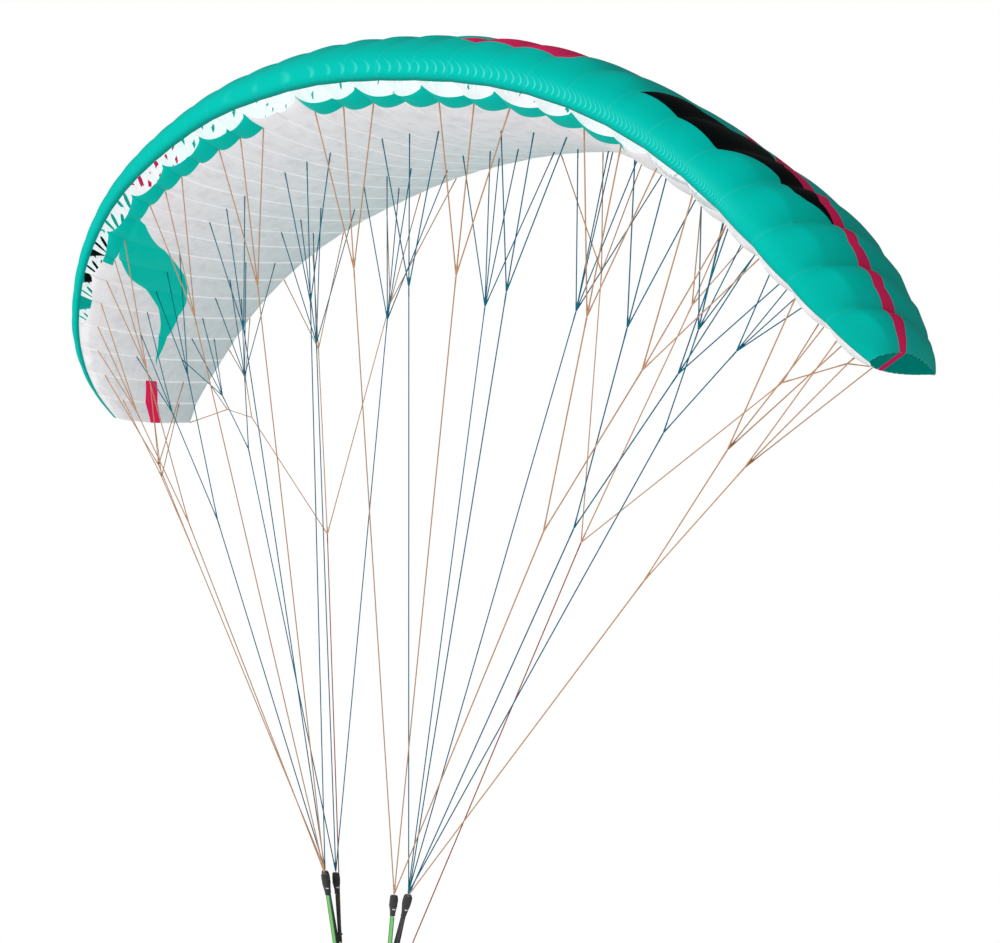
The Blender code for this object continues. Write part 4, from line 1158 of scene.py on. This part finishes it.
def strap(name, start, end, slot, webbing, node):
    """Flat webbing between two points: at each stop its cross-section, its width square to the strap and as
    near X as that allows, thicker where it is doubled and sewn at its ends."""
    start, end = np.asarray(start, float), np.asarray(end, float)
    length = np.linalg.norm(end - start)
    way = (end - start) / length
    width = np.array((1.0, 0, 0)) - way[0] * way
    width /= np.linalg.norm(width)
    depth = np.cross(way, width)
    near = np.array([at for at, _ in STRAP_END[1:]])
    stops = np.unique(np.concatenate([np.linspace(0, length, 40), near, length - near]))
    thick = WEBBING_THICKNESS / 2 * np.interp(np.minimum(stops, length - stops), *np.transpose(STRAP_END))
    across = ACROSS * WEBBING_WIDTH / 2
    rings = start + (way * stops[:, None])[:, None] + across[:, None] * width \
        + (thick[:, None] * DEEP)[..., None] * depth
    uv = np.stack(np.broadcast_arrays(across, stops[:, None]), -1)
    faces = grid_faces(len(stops), len(STRAP_OUTLINE), wrap=True)
    mesh_piece(name, rings.reshape(-1, 3), faces, uv.reshape(-1, 2), None, slot, webbing, [node])


# %% Sleeves
SLEEVE_HALF = (0.033, 0.021)
# Girth of a sleeve: (share of its length from the top, share of its half size).
SLEEVE_GIRTH = ((0.00, 0.70), (0.02, 0.82), (0.08, 0.95), (0.25, 1.00), (0.50, 0.97), (0.70, 0.77),
                (0.86, 0.65), (0.93, 0.61), (0.96, 0.65), (1.00, 0.61))


def sleeve(name, top, way, node, seed):
    """Soft cover over a riser's top: ovals down the riser, times two slanting waves round them for loose
    folds and a fine one near the foot for its gathered elastic, and a small oval at each end."""
    shares = np.linspace(0, 1, 45)
    girth = np.interp(shares, *np.transpose(SLEEVE_GIRTH))
    sides = 40
    angle = np.arange(sides) * 2 * math.pi / sides
    folds = 1 + 0.025 * np.sin(5 * angle[None] + 9 * shares[:, None] + seed) \
        + 0.02 * np.sin(9 * angle[None] - 14 * shares[:, None] + 2 * seed) \
        + 0.03 * np.sin(16 * angle[None]) * np.interp(shares, (0.85, 0.93, 1), (0, 1, 1))[:, None]
    folds = folds / 1.03
    x = SLEEVE_HALF[0] * np.cos(angle)[None] * girth[:, None] * folds
    y = SLEEVE_HALF[1] * np.sin(angle)[None] * girth[:, None] * folds
    centre = np.asarray(top)[None] - np.asarray(way)[None] * (COVER_LENGTH * shares / way[2])[:, None]
    points = centre[:, None] + np.stack([x, y, 0 * x], -1)
    caps = centre[[0, -1], None] + (points[[0, -1]] - centre[[0, -1], None]) * 0.02
    points = np.concatenate([caps[:1], points, caps[1:]])
    height = COVER_LENGTH * np.concatenate([[0], shares, [1]])
    uv = np.stack(np.broadcast_arrays((angle / (2 * math.pi))[None], height[:, None]), -1)
    faces = grid_faces(len(points), sides, wrap=True)
    mesh_piece(name, points.reshape(-1, 3), faces, uv.reshape(-1, 2), None, "cover_cloth", COVER, [node])


# %% Loops
def loop_band(name, outline, width, thickness, centre_x, node):
    """Closed loop of webbing: the cross-section carried round an outline in the YZ plane, its width along X
    and its depth inwards from the outline."""
    outline = np.asarray(outline)
    way = np.roll(outline, -1, axis=0) - np.roll(outline, 1, axis=0)
    way /= np.linalg.norm(way, axis=1, keepdims=True)
    inward = np.stack([-way[:, 1], way[:, 0]], -1)
    across = ACROSS * width / 2
    depth = thickness * (DEEP + 1) / 2
    side_on = outline[:, None] + inward[:, None] * depth[:, None]
    x = np.broadcast_to(centre_x + across, side_on.shape[:2])
    rings = np.concatenate([x[..., None], side_on], -1)
    uv = np.stack(np.broadcast_arrays(across, run_length(outline)[:, None]), -1)
    sides = len(STRAP_OUTLINE)
    faces = grid_faces(len(outline) + 1, sides, wrap=True) % (len(outline) * sides)
    mesh_piece(name, rings.reshape(-1, 3), faces, uv.reshape(-1, 2), None, "webbing_black", WEBBING_BLACK,
               [node])


def round_corners(corners, radii, steps):
    """Closed outline with round corners, in the order of its corners: at each, an arc that touches both
    sides."""
    outline = []
    for k, radius in enumerate(radii):
        corner = Vector(corners[k])
        before = (Vector(corners[k - 1]) - corner).normalized()
        after = (Vector(corners[(k + 1) % len(corners)]) - corner).normalized()
        half = before.angle(after) / 2
        centre = corner + (before + after).normalized() * radius / math.sin(half)
        first = corner + before * radius / math.tan(half) - centre
        last = corner + after * radius / math.tan(half) - centre
        sweep = first.angle_signed(last)
        outline += [tuple(centre + Matrix.Rotation(-sweep * j / steps, 2) @ first) for j in range(steps + 1)]
    return outline


# %% Risers
LOOP_CORNER = 0.016
LOOP_THICKNESS = 0.006
for side, mirror in SIDES:
    flip = np.array((mirror, 1, 1))
    half_y, half_z = LOOP_HALF
    corners = ((half_y, -half_z), (half_y, half_z), (-half_y, half_z), (-half_y, -half_z))
    loop_band(f"harness_webbing_{side}", round_corners(corners, (LOOP_CORNER,) * 4, 10), WEBBING_WIDTH,
              LOOP_THICKNESS, RISER_FOOT["A"][0] * mirror, f"harness_loop_{side}")
    for row in RISER_TOPS:
        top = np.multiply(RISER_TOPS[row], flip)
        foot = np.multiply(np.add(RISER_FOOT[row], (0, 0, half_z)), flip)
        way = (top - foot) / np.linalg.norm(top - foot)
        lean = WEBBING_WIDTH / 2 * abs(way[0]) + WEBBING_THICKNESS / 2 * abs(way[1])
        slot, webbing = ("webbing_green", WEBBING_GREEN) if row == "A" else ("webbing_black", WEBBING_BLACK)
        strap(f"strap_{row}_{side}", foot + way * (lean + GAP) / way[2],
              top - way * (COVER_LENGTH + lean + GAP) / way[2], slot, webbing, f"riser_{row}_{side}")
        sleeve(f"sleeve_{row}_{side}", top, way, f"cover_{row}_{side}", ord(row) + mirror)
print("risers made")


# %% Brake handles and guide rings
HANDLE_DEPTH, HANDLE_HEIGHT, HANDLE_NECK = 0.090, 0.120, 0.014
HANDLE_CORNERS = (0.020, 0.008, 0.008, 0.020)
HANDLE_WIDTH, HANDLE_THICKNESS = 0.022, 0.005
for side, mirror in SIDES:
    x, y, z = np.multiply(HANDLE_TOP, (mirror, 1, 1))
    z -= SEAT
    corners = ((y + HANDLE_DEPTH / 2, z - HANDLE_HEIGHT), (y + HANDLE_NECK, z), (y - HANDLE_NECK, z),
               (y - HANDLE_DEPTH / 2, z - HANDLE_HEIGHT))
    loop_band(f"handle_webbing_{side}", round_corners(corners, HANDLE_CORNERS, 8), HANDLE_WIDTH,
              HANDLE_THICKNESS, x, f"brake_handle_{side}")
    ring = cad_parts[f"brake_guide_{side}"]
    ring.data.materials.clear()
    ring.data.materials.append(COVER)
print("brake handles made")


# %% [markdown]
# ## Light and surroundings
# A wing in bright haze has soft light all round it and a brighter side towards the sun. A pale floor below
# it and a white surround throw soft light up at the underside, and one broad sun stands straight ahead of
# the wing, a little above the level. Both the floor and the surround are white to the camera and dimmer to
# the wing, so that the cloth keeps its shading against a plain white ground.

# %% Surroundings
SURROUND_LIGHT = 0.17
FLOOR_LIGHT = 0.6
FLOOR_HALF = 60
FLOOR_HEIGHT = -1.5
scene = bpy.context.scene
scene.view_settings.view_transform = "Standard"
scene.view_settings.look = "None"


def make_world():
    """White for the camera, dimmer for the light that it gives."""
    world = bpy.data.worlds.new("surround")
    world.use_nodes = True
    tree = world.node_tree
    tree.nodes.clear()
    out = tree.nodes.new("ShaderNodeOutputWorld")
    seen = add(tree, "Background", {"Color": (1, 1, 1, 1), "Strength": 1.0})
    lit = add(tree, "Background", {"Color": (1, 1, 1, 1), "Strength": SURROUND_LIGHT})
    camera_ray = add(tree, "LightPath").outputs["Is Camera Ray"]
    both = add(tree, "MixShader", {0: camera_ray, 1: lit.outputs[0], 2: seen.outputs[0]})
    tree.links.new(both.outputs[0], out.inputs[0])
    return world


scene.world = make_world()


def make_floor():
    """Plain white floor that gives back soft light."""
    made, tree, out = material("floor")
    glow = add(tree, "Emission", {"Color": (1, 1, 1, 1), "Strength": 1.0})
    dim = add(tree, "Emission", {"Color": (1, 1, 1, 1), "Strength": FLOOR_LIGHT})
    camera_ray = add(tree, "LightPath").outputs["Is Camera Ray"]
    both = add(tree, "MixShader", {0: camera_ray, 1: dim.outputs[0], 2: glow.outputs[0]})
    tree.links.new(both.outputs[0], out.inputs[0])
    mesh = bpy.data.meshes.new("floor")
    square = ((-1, -1), (1, -1), (1, 1), (-1, 1))
    mesh.from_pydata([(x * FLOOR_HALF, y * FLOOR_HALF, FLOOR_HEIGHT) for x, y in square], [], [(0, 1, 2, 3)])
    mesh.materials.append(made)
    obj = bpy.data.objects.new("floor", mesh)
    scene.collection.objects.link(obj)


make_floor()
print("surround and floor made")

# %% Key light
KEY_FROM = (0.05, -0.97, 0.24)
KEY_STRENGTH = 2.8
KEY_SPREAD = 45             # degrees across: a broad sun casts soft shadows
lamp = bpy.data.lights.new("key", "SUN")
lamp.energy = KEY_STRENGTH
lamp.angle = math.radians(KEY_SPREAD)
sun = bpy.data.objects.new("key", lamp)
sun.rotation_euler = Vector(KEY_FROM).to_track_quat("Z", "Y").to_euler()
scene.collection.objects.link(sun)
print("key light from", KEY_FROM)
